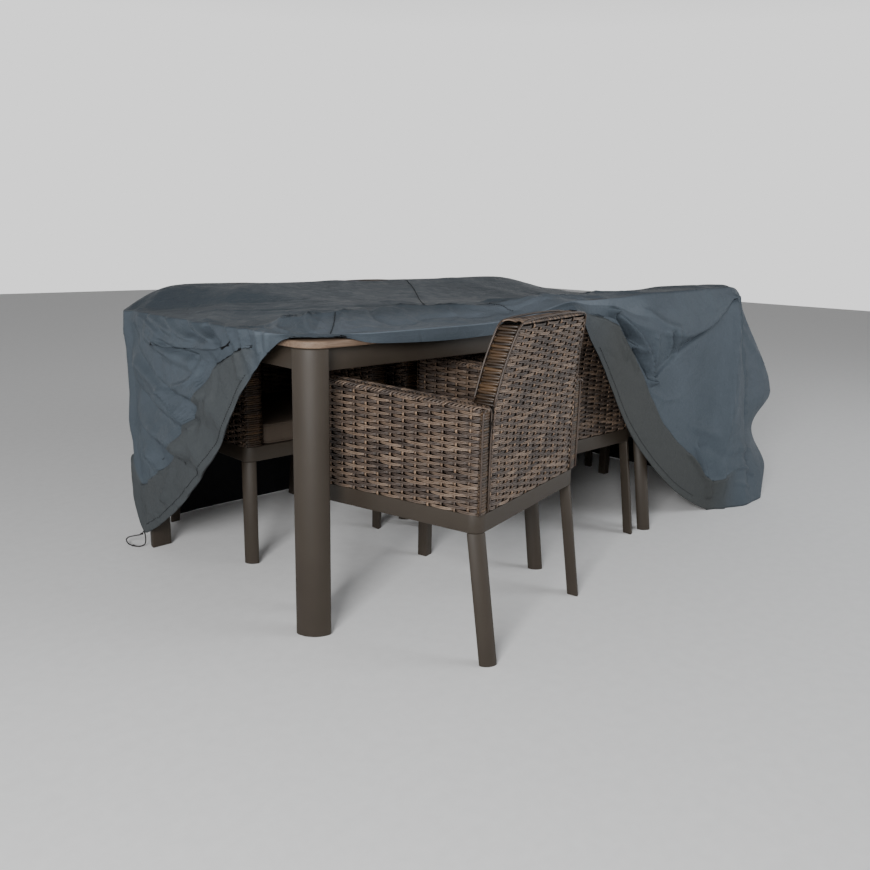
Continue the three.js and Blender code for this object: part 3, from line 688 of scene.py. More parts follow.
# path of (x, y); width to the left and to the right; up (minus: down)
TOP_CREASES = [
    # folds of the gathered strip along the near edge
    (
        [(-20, 330), (70, 205), (214, 172), (360, 240), (475, 213), (605, 181), (750, 60), (900, -20)],
        22, 9, 5,
    ),
    ([(391, 250), (300, 110), (318, 40), (491, 97), (648, 61)], 26, 18, -7),
    ([(120, 20), (170, 90), (230, 160)], 16, 22, 5),
    ([(60, 60), (90, 120), (130, 180)], 14, 16, 5),
    ([(10, 90), (20, 150), (40, 190)], 12, 16, 5),
    ([(-5, 150), (5, 200)], 12, 14, 5),
    ([(-10, 200), (-2, 260)], 12, 12, 5),
    ([(300, -5), (380, 80), (440, 170)], 24, 20, 5),
    ([(480, -8), (560, 60), (600, 160)], 20, 26, 5),
    ([(640, -20), (680, 20), (720, 60)], 20, 22, 6),
    ([(560, 0), (470, 60), (380, 70)], 12, 18, 4),
    # long soft pulls between the chair backs and the corners
    ([(532, 970), (269, 785), (-5, 447)], 120, 90, 9),
    ([(172, 1022), (66, 914), (-20, 838)], 60, 40, 8),
    ([(860, 1010), (700, 760), (640, 420)], 140, 120, 7),
    ([(1203, 1000), (1076, 808), (900, 560)], 90, 90, 6),
    ([(1500, 1010), (1460, 700), (1480, 300)], 120, 120, 7),
    ([(1838, -100), (1500, 60), (1250, 120)], 90, 60, 8),
    ([(1248, -75), (1180, 60), (1060, 200)], 40, 60, 7),
    ([(1640, -90), (1500, 140), (1450, 420)], 60, 90, 6),
    ([(960, -60), (900, 60), (860, 220)], 30, 40, 8),
    ([(1050, -60), (1010, 40), (990, 160)], 20, 30, 6),
    ([(150, 560), (360, 330), (520, 280)], 30, 50, 4),
    ([(90, 640), (420, 420), (600, 360)], 24, 36, -3),
    ([(260, 700), (480, 560), (700, 420)], 30, 40, 3),
    ([(2090, 20), (1900, 160), (1700, 340)], 90, 70, 8),
    ([(2095, 900), (1900, 780), (1700, 640)], 90, 90, 8),
]


# %% Crease shapes
NARROWEST = 13 * MM  # what the grid can still carry
RELIEF = 1.9  # how much higher the skirt's creases stand than their table says


def crease_profile(x):
    """1 on the crest, falling to 0 at distance 1, with a fairly sharp crest."""
    return 0.55 * (1 - x) ** 2 + 0.45 * 0.5 * (1 + np.cos(np.pi * x))


def crease_heights(points, facing, path, left, right, out):
    """How far one crease lifts each of the points. facing is their outward direction."""
    reach = max(left, right)
    total = np.zeros(len(points))
    low, high = path.min(axis=0) - reach, path.max(axis=0) + reach
    near = np.flatnonzero(np.all((points > low) & (points < high), axis=1))
    if not len(near):
        return total
    p, f = points[near], facing[near]
    best = np.full(len(near), np.inf)
    side = np.zeros(len(near))
    for a, b in zip(path[:-1], path[1:]):
        run = b - a
        share = np.clip(((p - a) @ run) / (run @ run), 0, 1)
        away = p - (a + share[:, None] * run)
        away = away - f * np.sum(away * f, axis=1)[:, None]
        distance = np.linalg.norm(away, axis=1)
        left_hand = np.sum(np.cross(f, run) * away, axis=1)
        closer = distance < best
        best = np.where(closer, distance, best)
        side = np.where(closer, left_hand, side)
    width = np.maximum(np.where(side > 0, left, right), NARROWEST)
    total[near] = out * crease_profile(np.clip(best / width, 0, 1))
    return total


def crumple(points, waves, seed):
    """Small folds in all directions: many plane waves with sharp crests, bent by each other."""
    draw = np.random.default_rng(seed)
    total = np.zeros(len(points))
    for length, height, count in waves:
        bend = np.zeros(len(points))
        for _ in range(3):
            way = draw.normal(size=3)
            way /= np.linalg.norm(way)
            bend += 0.9 * np.sin(points @ way * 2 * np.pi / (2.4 * length) + draw.uniform(0, 7))
        for _ in range(count):
            way = draw.normal(size=3)
            way /= np.linalg.norm(way)
            phase = points @ way * np.pi / length + bend + draw.uniform(0, 7)
            total += height / count**0.5 * ((1 - np.abs(np.sin(phase))) ** 2 - 0.28)
    return total


# %% Creased skirt
CREASE_WAVES = [  # length, height, count
    (230 * MM, 5.0 * MM, 4),
    (95 * MM, 3.0 * MM, 5),
    (42 * MM, 1.2 * MM, 6),
]
LOWEST = 4 * MM  # no part of the sheet but its hem comes nearer to the floor
HEM_NEAR_FLOOR = 10 * MM  # a hem below this height is laid down on the floor
HEM_ON_FLOOR = 1.5 * MM
TOP_DIP, SKIRT_DIP = 25 * MM, 8 * MM  # how far the inner face may keep behind a crest


def lowest_nearby(lift, reach=2):
    """The least of each value and its neighbours, the columns closed around."""
    low = lift
    for step in range(-reach, reach + 1):
        low = np.minimum(low, np.roll(lift, step, axis=0))
    padded = np.pad(low, ((0, 0), (reach, reach)), mode="edge")
    return np.min([padded[:, k:k + lift.shape[1]] for k in range(2 * reach + 1)], axis=0)


def creased_skirt():
    """How far each point of the skirt is moved straight out from the furniture."""
    points = skirt_base.reshape(-1, 3)
    rows = skirt_part.shape[1]
    facing = np.repeat(columns.out, rows, axis=0)
    lift = np.zeros(len(points))
    for path, left, right, out in SKIRT_CREASES:
        ribs, heights = np.array(path, float).T
        corners = Columns(ribs % len(RIBS)).side(heights[:, None] * MM)[:, 0]
        route = smooth_route(corners, 5)
        lift += crease_heights(points, facing, route, left * MM, right * MM, RELIEF * out * MM)
    place = np.repeat(columns.t, rows)
    rim = np.repeat(columns.rim[:, 2], rows)
    # no crease reaches round the far left corner, where the cloth hangs straight
    lift *= 1 - smoothstep(place, 28, 28.5) * (1 - smoothstep(place, 30, 31.2))
    # the left end and the pleats are crumpled, the near right panel hangs smooth
    left_end = smoothstep(place, 29.5, 31) * (1 - smoothstep(place, 36.5, 38))
    pleats = 1 - smoothstep(np.abs(place - 8.8), 0.8, 1.9)
    amount = 0.28 + 1.1 * left_end + 0.4 * pleats
    amount = amount * smoothstep(rim - points[:, 2], 2 * MM, 50 * MM)
    lift += amount * crumple(points, CREASE_WAVES, 3)
    lift += long_folds(place, points[:, 2]) * smoothstep(rim - points[:, 2], 0, 60 * MM)
    return lift.reshape(skirt_part.shape[:2])


# %% Creased top
def creased_top():
    """How far each point of the top is moved up; it is left as it is right at the rim."""
    points = top_part.reshape(-1, 3) * [1, 1, 0]
    facing = np.tile([0.0, 0.0, 1.0], (len(points), 1))
    lift = np.zeros(len(points))
    for path, left, right, up in TOP_CREASES:
        corners = np.column_stack([np.array(path, float) * MM, np.zeros(len(path))])
        route = smooth_route(corners, 6)
        lift += crease_heights(points, facing, route, left * MM, right * MM, up * MM)
    rows = top_part.shape[1]
    inside = np.tile(np.arange(rows), len(columns.t))
    rim_fade = 1 - smoothstep(inside, rows - 4, rows - 1) * 0.8
    middle_fade = smoothstep(inside, 0, 6)
    gathered = np.repeat(columns.has["roll"], rows) * smoothstep(inside, rows - 24, rows - 12)
    amount = 0.25 + 0.75 * gathered
    lift = lift * rim_fade * smoothstep(inside, 0, 2)
    lift += amount * middle_fade * rim_fade * np.maximum(crumple(points, CREASE_WAVES, 9), -1.5 * MM)
    return lift.reshape(top_part.shape[:2])


# %% Creased sheet
def creased_sheet(top_lift, skirt_lift):
    """The sheet's grid, its top moved up and its skirt moved out by these amounts."""
    top = top_part + top_lift[..., None] * [0.0, 0.0, 1.0]
    skirt = skirt_part + skirt_lift[..., None] * columns.out[:, None]
    grid = np.concatenate([top, skirt], axis=1)
    grid[..., 2] = np.maximum(grid[..., 2], LOWEST)
    hem = grid[:, -1]
    hem[hem[:, 2] < HEM_NEAR_FLOOR, 2] = HEM_ON_FLOOR
    return grid


top_lift, skirt_lift = creased_top(), creased_skirt()
sheet_grid = creased_sheet(top_lift, skirt_lift)
# the inner face is coarser, so it starts from the lowest of what lies around each point
top_height = top_part[..., 2] + top_lift
lining_grid = creased_sheet(
    np.maximum(lowest_nearby(top_height), top_height - TOP_DIP) - top_part[..., 2],
    np.maximum(lowest_nearby(skirt_lift), skirt_lift - SKIRT_DIP),
)
print("creases:", len(SKIRT_CREASES) + len(TOP_CREASES))


# %% [markdown]
# ## One closed sheet
#
# The outer face is the fine grid. A Solidify modifier would give the inner face as much
# detail again, though little of it shows. So it takes every second column, and every
# second row except at the sharp bends, and a band of triangles along the hem joins the
# two. A coarse face can cut through a finely creased one, so `tuck_under` measures it
# against the outer face and moves it in wherever it comes too close. The result is one
# closed mesh, 2 mm thick where the cloth is smooth and thicker under its creases.

# %% Inner face
def moves_in(samples, tree, clear):
    """The move that takes each sample to at least `clear` behind the tree's surface."""
    moves = np.zeros(samples.shape)
    for place in np.ndindex(samples.shape[:2]):
        near, normal, _, _ = tree.find_nearest(samples[place])
        depth = normal.dot(near - Vector(samples[place]))
        if depth < clear:
            moves[place] = np.array(normal) * (depth - clear)
    return moves


def tuck_under(inner, outer, rounds=6, clear=1.5 * MM):
    """Moves the inner grid in where its points, edges or faces come too near the outer
    grid. Each round moves every point by the longest move that a sample near it needs."""
    n, m = outer.shape[:2]
    faces = [
        (i * m + r, i * m + r + 1, (i + 1) % n * m + r + 1, (i + 1) % n * m + r)
        for i in range(n)
        for r in range(m - 1)
    ]
    tree = BVHTree.FromPolygons(outer.reshape(-1, 3).tolist(), faces)
    inner = inner.copy()
    for _ in range(rounds):
        after = np.roll(inner, -1, axis=0)
        across = (inner + after) / 2
        longest = np.zeros(inner.shape)
        for samples, columns_met, rows_met in (
            (inner, (0,), (0,)),
            (across, (0, 1), (0,)),
            ((inner[:, :-1] + inner[:, 1:]) / 2, (0,), (0, 1)),
            ((across[:, :-1] + across[:, 1:]) / 2, (0, 1), (0, 1)),
        ):
            moves = moves_in(samples, tree, clear)
            for column in columns_met:
                for row in rows_met:
                    met = np.zeros(inner.shape)
                    met[:, row:row + moves.shape[1]] = np.roll(moves, column, axis=0)
                    longer = (met**2).sum(axis=2) > (longest**2).sum(axis=2)
                    longest[longer] = met[longer]
        inner += longest
    print("inner face: longest last move", round(float(np.abs(longest).max()) / MM, 2), "mm")
    return inner


# %% Closed sheet
def close_sheet(outer, inner, top_centre):
    """One closed mesh from the outer grid and the inner grid of half its columns."""
    n, m = outer.shape[:2]
    ni, mi = inner.shape[:2]
    points = np.concatenate([
        outer.reshape(-1, 3), inner.reshape(-1, 3), [top_centre], [top_centre - [0, 0, SHEET]],
    ])
    faces = []
    for i in range(n):
        a, b = i * m, ((i + 1) % n) * m
        faces.extend((a + r, a + r + 1, b + r + 1, b + r) for r in range(m - 1))
        faces.append((len(points) - 2, a, b))
    base = n * m
    for i in range(ni):
        a, b = base + i * mi, base + ((i + 1) % ni) * mi
        faces.extend((b + r, b + r + 1, a + r + 1, a + r) for r in range(mi - 1))
        faces.append((len(points) - 1, b, a))
        o0, o1, o2 = ((2 * i + k) % n * m + m - 1 for k in range(3))
        a, b = a + mi - 1, b + mi - 1
        faces.extend([(o0, a, o1), (o1, a, b), (o1, b, o2)])
    return points, faces


def cloth_attributes(mesh, outer_shape, inner_shape):
    """Marks the inner face, painted near-black as painted shade, the strip along the hem, darker partly as
    painted shade, and the gathered part, paler as a painted highlight, for the material to read.
    """
    n, m = outer_shape
    strip_rows = 30
    strip = np.zeros((n, m))
    # the strip is mixed to a darker grey: partly its own tone, partly painted shade, laid on most beside the
    # chair
    beside_chair = columns.has["crease"][:, None]
    strip[:, m - strip_rows:] = columns.has["fold"][:, None] * (0.75 + 0.25 * beside_chair)
    inner_strip = strip[::2][:, INNER_ROWS]
    # the inner face, painted near-black in the material as painted shade
    inside = np.concatenate([np.zeros(n * m), np.ones(inner_shape[0] * inner_shape[1]), [0, 1]])
    strip_tone_and_shade = np.concatenate([strip.ravel(), inner_strip.ravel(), [0, 0]])
    # the part of the skirt that is gathered up on the table top, shown in a paler grey as a painted
    # highlight
    rows = np.arange(m)
    on_top = smoothstep(rows, TOP_COUNT - 22, TOP_COUNT - 12) * (rows < TOP_COUNT + 14)
    gathered = columns.has["roll"][:, None] * on_top * (1 - 0.5 * smoothstep(columns.t, 6, 9))[:, None]
    gathered[(columns.t > 12) & (columns.t < 30)] = 0
    pale = np.concatenate([gathered.ravel(), gathered[::2][:, INNER_ROWS].ravel(), [0, 0]])
    for name, values in (("inside", inside), ("strip", strip_tone_and_shade), ("pale", pale)):
        mesh.attributes.new(name, "FLOAT", "POINT").data.foreach_set("value", values)


# %% [markdown]
# ## Coated cloth
#
# A cover like this is polyester with a thin coating: slate grey, hardly glossy, and
# marked all over by small folds. An image of cloth would repeat or stretch over so large a
# sheet, so its colour is built from noise: slow clouds, a fine weave and paler flecks.
# Three bumps, from fine to coarse, stand for what is too small to model. Three
# attributes on the mesh say where colour stands in for light: the inside is painted
# near-black as painted shade, the turned-back strip is darker, partly its own grey and
# partly painted shade, and the gathered part is paler as a painted highlight.


# %% Coated cloth
def cover_material():
    """Coated polyester: a fine weave under a thin coating, with a soft sheen, creased."""
    recipe = Recipe("coated_cloth", roughness=0.5, specular=0.07)
    where = recipe.place()
    weave = recipe.noise(where, 1100.0, detail=2.0)
    cloud = recipe.noise(where, 4.0, detail=5.0)
    wide = recipe.noise(where, 22.0, detail=5.0, roughness=0.6, Distortion=0.8)
    fine = recipe.noise(recipe.place((1, 1, 0.6)), 75.0, detail=5.0, roughness=0.6, Distortion=0.5)
    colour = recipe.ramp(cloud, [(0.3, (0.047, 0.058, 0.070)), (0.7, (0.059, 0.073, 0.087))])
    grain = recipe.ramp(weave, [(0.3, 0.8), (0.7, 1.2)])
    colour = recipe.mix(0.5, colour, grain, "MULTIPLY")
    flecks = recipe.ramp(fine, [(0.62, (0.052, 0.067, 0.081)), (0.74, (0.085, 0.102, 0.118))])
    colour = recipe.mix(recipe.ramp(fine, [(0.60, 0.0), (0.74, 0.35)]), colour, flecks)
    # the turned-back strip: a darker grey, partly its own tone and partly painted shade
    strip = recipe.attribute("strip")
    colour = recipe.mix(strip, colour, (0.043, 0.046, 0.046))
    # painted highlight: the gathered part is paler where it catches the light
    painted_highlight_amount = recipe.maths("MULTIPLY", recipe.attribute("pale"), 0.75)
    colour = recipe.mix(painted_highlight_amount, colour, (0.105, 0.124, 0.146))
    # painted shade: the inner face is near-black, for the dark under the cover
    inside = recipe.attribute("inside")
    colour = recipe.mix(inside, colour, (0.006, 0.006, 0.007))
    rough = recipe.ramp(wide, [(0.3, 0.45), (0.7, 0.60)])
    normal = recipe.bump(weave, 0.22, 0.0004)
    normal = recipe.bump(fine, 0.45, 0.0020, over=normal)
    normal = recipe.bump(wide, 0.65, 0.0070, over=normal)
    return recipe.done(colour=colour, roughness=rough, normal=normal)


# %% Cover piece
ROW_COUNT = sheet_grid.shape[1]
BEND_ROWS = range(TOP_COUNT + 18, TOP_COUNT + 50)  # the lip and the crease keep every row
INNER_ROWS = sorted({*range(0, ROW_COUNT, 2), *BEND_ROWS, ROW_COUNT - 1})


def make_cover(material):
    normals = grid_normals(sheet_grid)
    outer = sheet_grid + normals * SHEET / 2 + TABLE
    inner = (lining_grid - grid_normals(lining_grid) * SHEET / 2)[::2][:, INNER_ROWS] + TABLE
    inner = tuck_under(inner, outer)
    top = sheet_grid[:, 0].mean(axis=0) + TABLE
    points, faces = close_sheet(outer, inner, top)
    cover = make_object("cover_cloth", points, faces)
    cloth_attributes(cover.data, outer.shape[:2], inner.shape[:2])
    return finish_piece(cover, material, ["cover"])


CLOTH = cover_material()
cover = make_cover(CLOTH)
print("cover triangles:", sum(len(p.vertices) - 2 for p in cover.data.polygons))

# %% [markdown]
# ## Copies of one small mesh
#
# A woven chair has thousands of strands that are nearly alike. Geometry Nodes places
# them: a plain mesh holds one point per strand, with the way it runs, the way it
# faces and its length stored on the point, and the node tree puts a copy of one small
# mesh on each. Each copy gets its own random tone, which the material reads. The last
# node turns the copies into plain faces, because an export keeps no instances.


# %% Geometry Nodes tree
def copies_tree():
    tree = bpy.data.node_groups.new("copies_on_points", "GeometryNodeTree")
    sockets = {}
    for name, kind in (("Points", "Geometry"), ("Copy", "Object"), ("Material", "Material")):
        sockets[name] = tree.interface.new_socket(name, in_out="INPUT", socket_type=f"NodeSocket{kind}")
    tree.interface.new_socket("Copies", in_out="OUTPUT", socket_type="NodeSocketGeometry")

    def node(kind, **settings):
        made = tree.nodes.new(kind)
        for key, value in settings.items():
            setattr(made, key, value)
        return made

    def stored(name):
        made = node("GeometryNodeInputNamedAttribute", data_type="FLOAT_VECTOR")
        made.inputs["Name"].default_value = name
        return made.outputs["Attribute"]

    start, end = node("NodeGroupInput"), node("NodeGroupOutput")
    copy = node("GeometryNodeObjectInfo")
    turn = node("FunctionNodeAxesToRotation", primary_axis="X", secondary_axis="Y")
    spread = node("GeometryNodeInstanceOnPoints")
    tone = node("FunctionNodeRandomValue", data_type="FLOAT")
    tone.inputs["Seed"].default_value = 5
    keep = node("GeometryNodeStoreNamedAttribute", data_type="FLOAT", domain="INSTANCE")
    keep.inputs["Name"].default_value = "tone"
    real = node("GeometryNodeRealizeInstances")
    paint = node("GeometryNodeSetMaterial")
    link = tree.links.new
    link(start.outputs["Points"], spread.inputs["Points"])
    link(start.outputs["Copy"], copy.inputs["Object"])
    link(copy.outputs["Geometry"], spread.inputs["Instance"])
    link(stored("along"), turn.inputs["Primary Axis"])
    link(stored("facing"), turn.inputs["Secondary Axis"])
    link(turn.outputs["Rotation"], spread.inputs["Rotation"])
    link(stored("size"), spread.inputs["Scale"])
    link(spread.outputs["Instances"], keep.inputs["Geometry"])
    link(tone.outputs[1], keep.inputs["Value"])
    link(keep.outputs["Geometry"], real.inputs["Geometry"])
    link(real.outputs["Geometry"], paint.inputs["Geometry"])
    link(start.outputs["Material"], paint.inputs["Material"])
    link(paint.outputs["Geometry"], end.inputs["Copies"])
    return tree, {name: socket.identifier for name, socket in sockets.items()}


COPIES, COPIES_INPUT = copies_tree()


# %% Placing copies
def place_copies(name, places, copy, material):
    """A piece made of one copy per place: (point, along, facing, size)."""
    points, along, facing, size = (np.array(part, float) for part in zip(*places))
    mesh = bpy.data.meshes.new(name)
    mesh.from_pydata([tuple(p) for p in points], [], [])
    for key, values in (("along", along), ("facing", facing), ("size", size)):
        mesh.attributes.new(key, "FLOAT_VECTOR", "POINT").data.foreach_set("vector", values.ravel())
    seeds = bpy.data.objects.new(name + "_seeds", mesh)
    bpy.context.scene.collection.objects.link(seeds)
    modifier = seeds.modifiers.new("copies", "NODES")
    modifier.node_group = COPIES
    modifier[COPIES_INPUT["Copy"]] = copy
    modifier[COPIES_INPUT["Material"]] = material
    evaluated = seeds.evaluated_get(bpy.context.evaluated_depsgraph_get())
    made = bpy.data.meshes.new_from_object(evaluated)
    bpy.data.objects.remove(seeds)
    made.shade_smooth()
    piece = bpy.data.objects.new(name, made)
    bpy.context.scene.collection.objects.link(piece)
    return finish_piece(piece, material)


# %% [markdown]
# ## Metal and wood
#
# The table legs, the rails and the chair frames are powder-coated aluminium: a warm
# grey-brown with a very fine grain. The CAD pieces already have the right shape, so
# each is copied, its loose triangles are merged, and its edges are rounded as a
# welder would dress them. Only the sharp edges get a bevel: the flat faces stay flat,
# and each edge catches a thin line of light. The table top is oiled wood, its grain
# drawn out along the table by scaling the noise.


# %% Metal and wood
def metal_material():
    recipe = Recipe("powder_coat", roughness=0.5, specular=0.3)
    where = recipe.place()
    grain = recipe.noise(where, 1400.0, detail=2.0)
    cloud = recipe.noise(where, 7.0, detail=3.0)
    colour = recipe.ramp(cloud, [(0.3, (0.027, 0.0205, 0.0145)), (0.7, (0.032, 0.0248, 0.0180))])
    rough = recipe.ramp(cloud, [(0.3, 0.46), (0.7, 0.56)])
    return recipe.done(colour=colour, roughness=rough, normal=recipe.bump(grain, 0.25, 0.0003))


def wood_material():
    recipe = Recipe("oiled_wood", roughness=0.55, specular=0.35)
    where = recipe.place((1.5, 22, 22))
    grain = recipe.noise(where, 9.0, detail=7.0, roughness=0.6, Distortion=0.6)
    fine = recipe.noise(recipe.place((6, 160, 160)), 6.0, detail=4.0)
    dark, middle, pale = (0.100, 0.062, 0.040), (0.165, 0.112, 0.078), (0.22, 0.16, 0.118)
    colour = recipe.ramp(grain, [(0.3, dark), (0.55, middle), (0.75, pale)])
    pores = recipe.ramp(fine, [(0.35, (0.078, 0.046, 0.028)), (0.65, (0.22, 0.16, 0.115))])
    colour = recipe.mix(0.25, colour, pores)
    return recipe.done(colour=colour, normal=recipe.bump(fine, 0.4, 0.0006))


# %% Rounded copies
def rounded_copy(node, name, radius, segments=3):
    """The CAD node again, its triangles merged into clean faces and its edges rounded."""
    mesh = bpy.data.meshes.new(name)
    form = bmesh.new()
    form.from_mesh(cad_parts[node].data)
    bmesh.ops.remove_doubles(form, verts=form.verts, dist=1e-5)
    bmesh.ops.dissolve_limit(form, angle_limit=np.radians(1), verts=form.verts, edges=form.edges)
    sharp = [e for e in form.edges if e.is_manifold and e.calc_face_angle() > np.radians(25)]
    bmesh.ops.bevel(form, geom=sharp, offset=radius, segments=segments, profile=0.5,
                    affect="EDGES", clamp_overlap=True)
    bmesh.ops.recalc_face_normals(form, faces=form.faces)
    form.to_mesh(mesh)
    form.free()
    mesh.shade_smooth()
    obj = bpy.data.objects.new(name, mesh)
    bpy.context.scene.collection.objects.link(obj)
    return obj


# %% Table and frames
METAL = metal_material()
WOOD = wood_material()
TABLE_CORNERS = ["near_left", "near_right", "far_right", "far_left"]
CHAIR_NAMES = [
    "chair_pulled_out", "chair_near_middle", "chair_near_right",
    "chair_far_left", "chair_far_middle", "chair_far_right",
]
CHAIR_LEGS = ["leg_back_left", "leg_back_right", "leg_front_left", "leg_front_right"]

metal_nodes = [(f"table_leg_{at}", 4 * MM) for at in TABLE_CORNERS]  # name, edge radius
metal_nodes += [(f"apron_{at}", 2 * MM) for at in ("near", "far", "left", "right")]
for chair_name in CHAIR_NAMES:
    metal_nodes.append((f"{chair_name}_seat_frame", 2 * MM))
    metal_nodes += [(f"{chair_name}_{leg}", 2.5 * MM) for leg in CHAIR_LEGS]
for node_name, radius in metal_nodes:
    piece = rounded_copy(node_name, node_name + "_coated", radius)
    finish_piece(piece, METAL, [node_name])
table_top = rounded_copy("table_top", "table_top_oiled", 4 * MM)
finish_piece(table_top, WOOD, ["table_top"])
print("metal pieces:", len(metal_nodes))

# %% [markdown]
# ## The woven chairs
#
# Each chair has a tub of woven strands: two arms and a leaning back, 57 mm thick. The
# strands run level, in pairs, over one upright stake and behind the next, and each row
# is shifted by one stake against its neighbour. A pair makes a long narrow lens, so
# one small mesh of two bent strands, laid out in rows, gives the whole weave. The
# uprights show between the lenses, and a near-black sheet stands a few millimetres
# behind them, painted shade for the gaps. A weave drawn in a bump would be lighter, but
# flat along the arms' edges.

# %% Chair sizes
SEAT_WIDTH, SEAT_DEPTH = 540 * MM, 506 * MM
RAIL_TOP = 371.3 * MM
WALL = 57 * MM
ARM_FRONT, ARM_BACK = 645 * MM, 624 * MM
CUSHION_THICK = 68 * MM
BACK_FORM = MM * np.array([  # height, half width, lean
    (371.3, 266, 0),
    (500, 250, 1),
    (624, 231, 6),
    (720, 209, 20),
    (788, 191, 36),
    (804, 182, 40),
    (812, 164, 42),
])
CHAIR_PLACES = {  # x, y from the table's near left corner, turn in degrees, facing
    "chair_pulled_out": (430, -41, 12.8, 1),
    "chair_near_middle": (1059, 210, -1.3, 1),
    "chair_near_right": (1626, 190, 0, 1),
    "chair_far_left": (427, 775, -0.7, -1),
    "chair_far_middle": (1060, 778, 0, -1),
    "chair_far_right": (1680, 775, 0, -1),
}
ROW = 7.5 * MM
STAKE = 37 * MM
STRAND = 1.9 * MM  # half height of a strand
POST_INNER = 231 * MM  # the post at an arm's rear corner reaches from here to the side
GAP_SHADE_DEPTH = 5 * MM  # how far the painted shade sheet stands behind the outer faces
WRAP_PITCH = 6.4 * MM  # from wrap to wrap up an edge
print("chairs:", len(CHAIR_PLACES), "with backs", round(BACK_FORM[-1][0], 3), "m high")


def chair_pose(name):
    x, y, turn, facing = CHAIR_PLACES[name]
    angle = np.radians(turn + (0 if facing > 0 else 180))
    return Matrix.Translation(Vector(TABLE) + Vector((x, y, 0)) * MM) @ Matrix.Rotation(angle, 4, "Z")


# %% Strand meshes
def bent_strand(length, rise, dip, part, together, sides, steps):
    """One strand: it rises over the stake in its middle and dips at both ends. part is
    how far it stands above or below the pair's middle line, together what is left of
    that at the ends."""
    x = np.linspace(-0.5, 0.5, steps + 1)
    arch = np.cos(np.pi * x * 0.998) ** 0.8
    y = dip + (rise - dip) * arch
    z = part * (together + (1 - together) * arch)
    turn = np.arange(sides) * 2 * np.pi / sides
    points = [
        (length * a, b + 0.95 * STRAND * np.cos(t), c + STRAND * np.sin(t))
        for a, b, c in zip(x, y, z)
        for t in turn
    ]
    return points, ring_faces(steps + 1, sides)


def strand_object(name, strands):
    """A small hidden mesh that the copies are made from."""
    points, faces = [], []
    for more, more_faces in strands:
        start = len(points)
        points.extend(more)
        faces.extend(tuple(start + i for i in face) for face in more_faces)
    form = bmesh.new()
    made = [form.verts.new(p) for p in points]
    for face in faces:
        form.faces.new([made[i] for i in face])
    bmesh.ops.recalc_face_normals(form, faces=form.faces)
    mesh = bpy.data.meshes.new(name)
    form.to_mesh(mesh)
    form.free()
    return bpy.data.objects.new(name, mesh)


def strand_set(sides, steps):
    """The small meshes of one weave: a pair of strands, a stake's knuckle, a wrap 1 m long."""
    lens = [
        bent_strand(1.86 * STAKE, 0.9 * MM, -6.5 * MM, part * 1.95 * MM, 0.7, sides, steps)
        for part in (-1, 1)
    ]
    knuckle = bent_strand(1.7 * ROW, 0.2 * MM, -4.0 * MM, 0, 1, sides, 4)
    wrap = bent_strand(1.0, -0.3 * MM, -4.5 * MM, 0, 1, sides, steps)
    return {
        "lens": strand_object("lens_pair", lens),
        "stake": strand_object("stake_knuckle", [knuckle]),
        "wrap": strand_object("edge_wrap", [wrap]),
    }


STRANDS = {"full": strand_set(6, 6), "light": strand_set(4, 4)}
for detail, copies in STRANDS.items():
    print(detail, {kind: len(copy.data.polygons) for kind, copy in copies.items()}, "faces")


# %% Weave layout
def back_at(z):
    """Half width and lean of the back at a height."""
    return np.interp(z, BACK_FORM[:, 0], BACK_FORM[:, 1]), np.interp(z, BACK_FORM[:, 0], BACK_FORM[:, 2])


def arm_top(y):
    return ARM_BACK + (ARM_FRONT - ARM_BACK) * (y / SEAT_DEPTH + 0.5)


def panel_places(spans, up_at, facing_at, point_at):
    """Lays lenses and stake knuckles over a panel. spans gives the row's two ends, and
    point_at a point of the panel from its place along the row and its row."""
    lenses, knuckles = [], []
    for row, (low, high) in enumerate(spans):
        along = point_at(high, row) - point_at(low, row)
        along /= np.linalg.norm(along)
        facing, up = facing_at(row), up_at(row)
        first = int(np.ceil((low + 2 * MM) / STAKE))
        last = int(np.floor((high - 2 * MM) / STAKE))
        for stake in range(first, last + 1):
            u = stake * STAKE
            here = point_at(u, row)
            if (row + stake) % 2 == 0:
                a, b = max(u - STAKE, low), min(u + STAKE, high)
                slack = rng.uniform(-0.4, 0.4, 3) * MM
                size = ((b - a) / (2 * STAKE), 1, 1)
                lenses.append((point_at((a + b) / 2, row) + slack, along, facing, size))
            else:
                knuckles.append((here, up, facing, (1, 1.0, 1.7)))
        for end, inner in ((low, first), (high, last)):
            if (row + inner) % 2 == 1 and abs(end - inner * STAKE) > 6 * MM:
                middle = (end + inner * STAKE) / 2
                share = abs(end - inner * STAKE) / (2 * STAKE)
                lenses.append((point_at(middle, row), along, facing, (share * 1.15, 1, 0.9)))
    return lenses, knuckles


# %% Arm and back panels
def arm_panel(side, outer):
    """The outer or the inner face of one arm, in the chair's own frame."""
    x = side * (SEAT_WIDTH / 2 - (0 if outer else WALL))
    rows = int((ARM_BACK - RAIL_TOP - 6 * MM) / ROW)
    half = SEAT_DEPTH / 2 - 3 * MM
    reach = (-half, half) if outer else (-half + WALL, half)

    def point_at(y, row):
        share = (row + 0.5) / rows
        return np.array([x, y, RAIL_TOP + share * (arm_top(y) - 5 * MM - RAIL_TOP)])

    facing = np.array([side if outer else -side, 0.0, 0.0])
    return panel_places([reach] * rows, lambda row: np.array([0.0, 0, 1]), lambda row: facing, point_at)


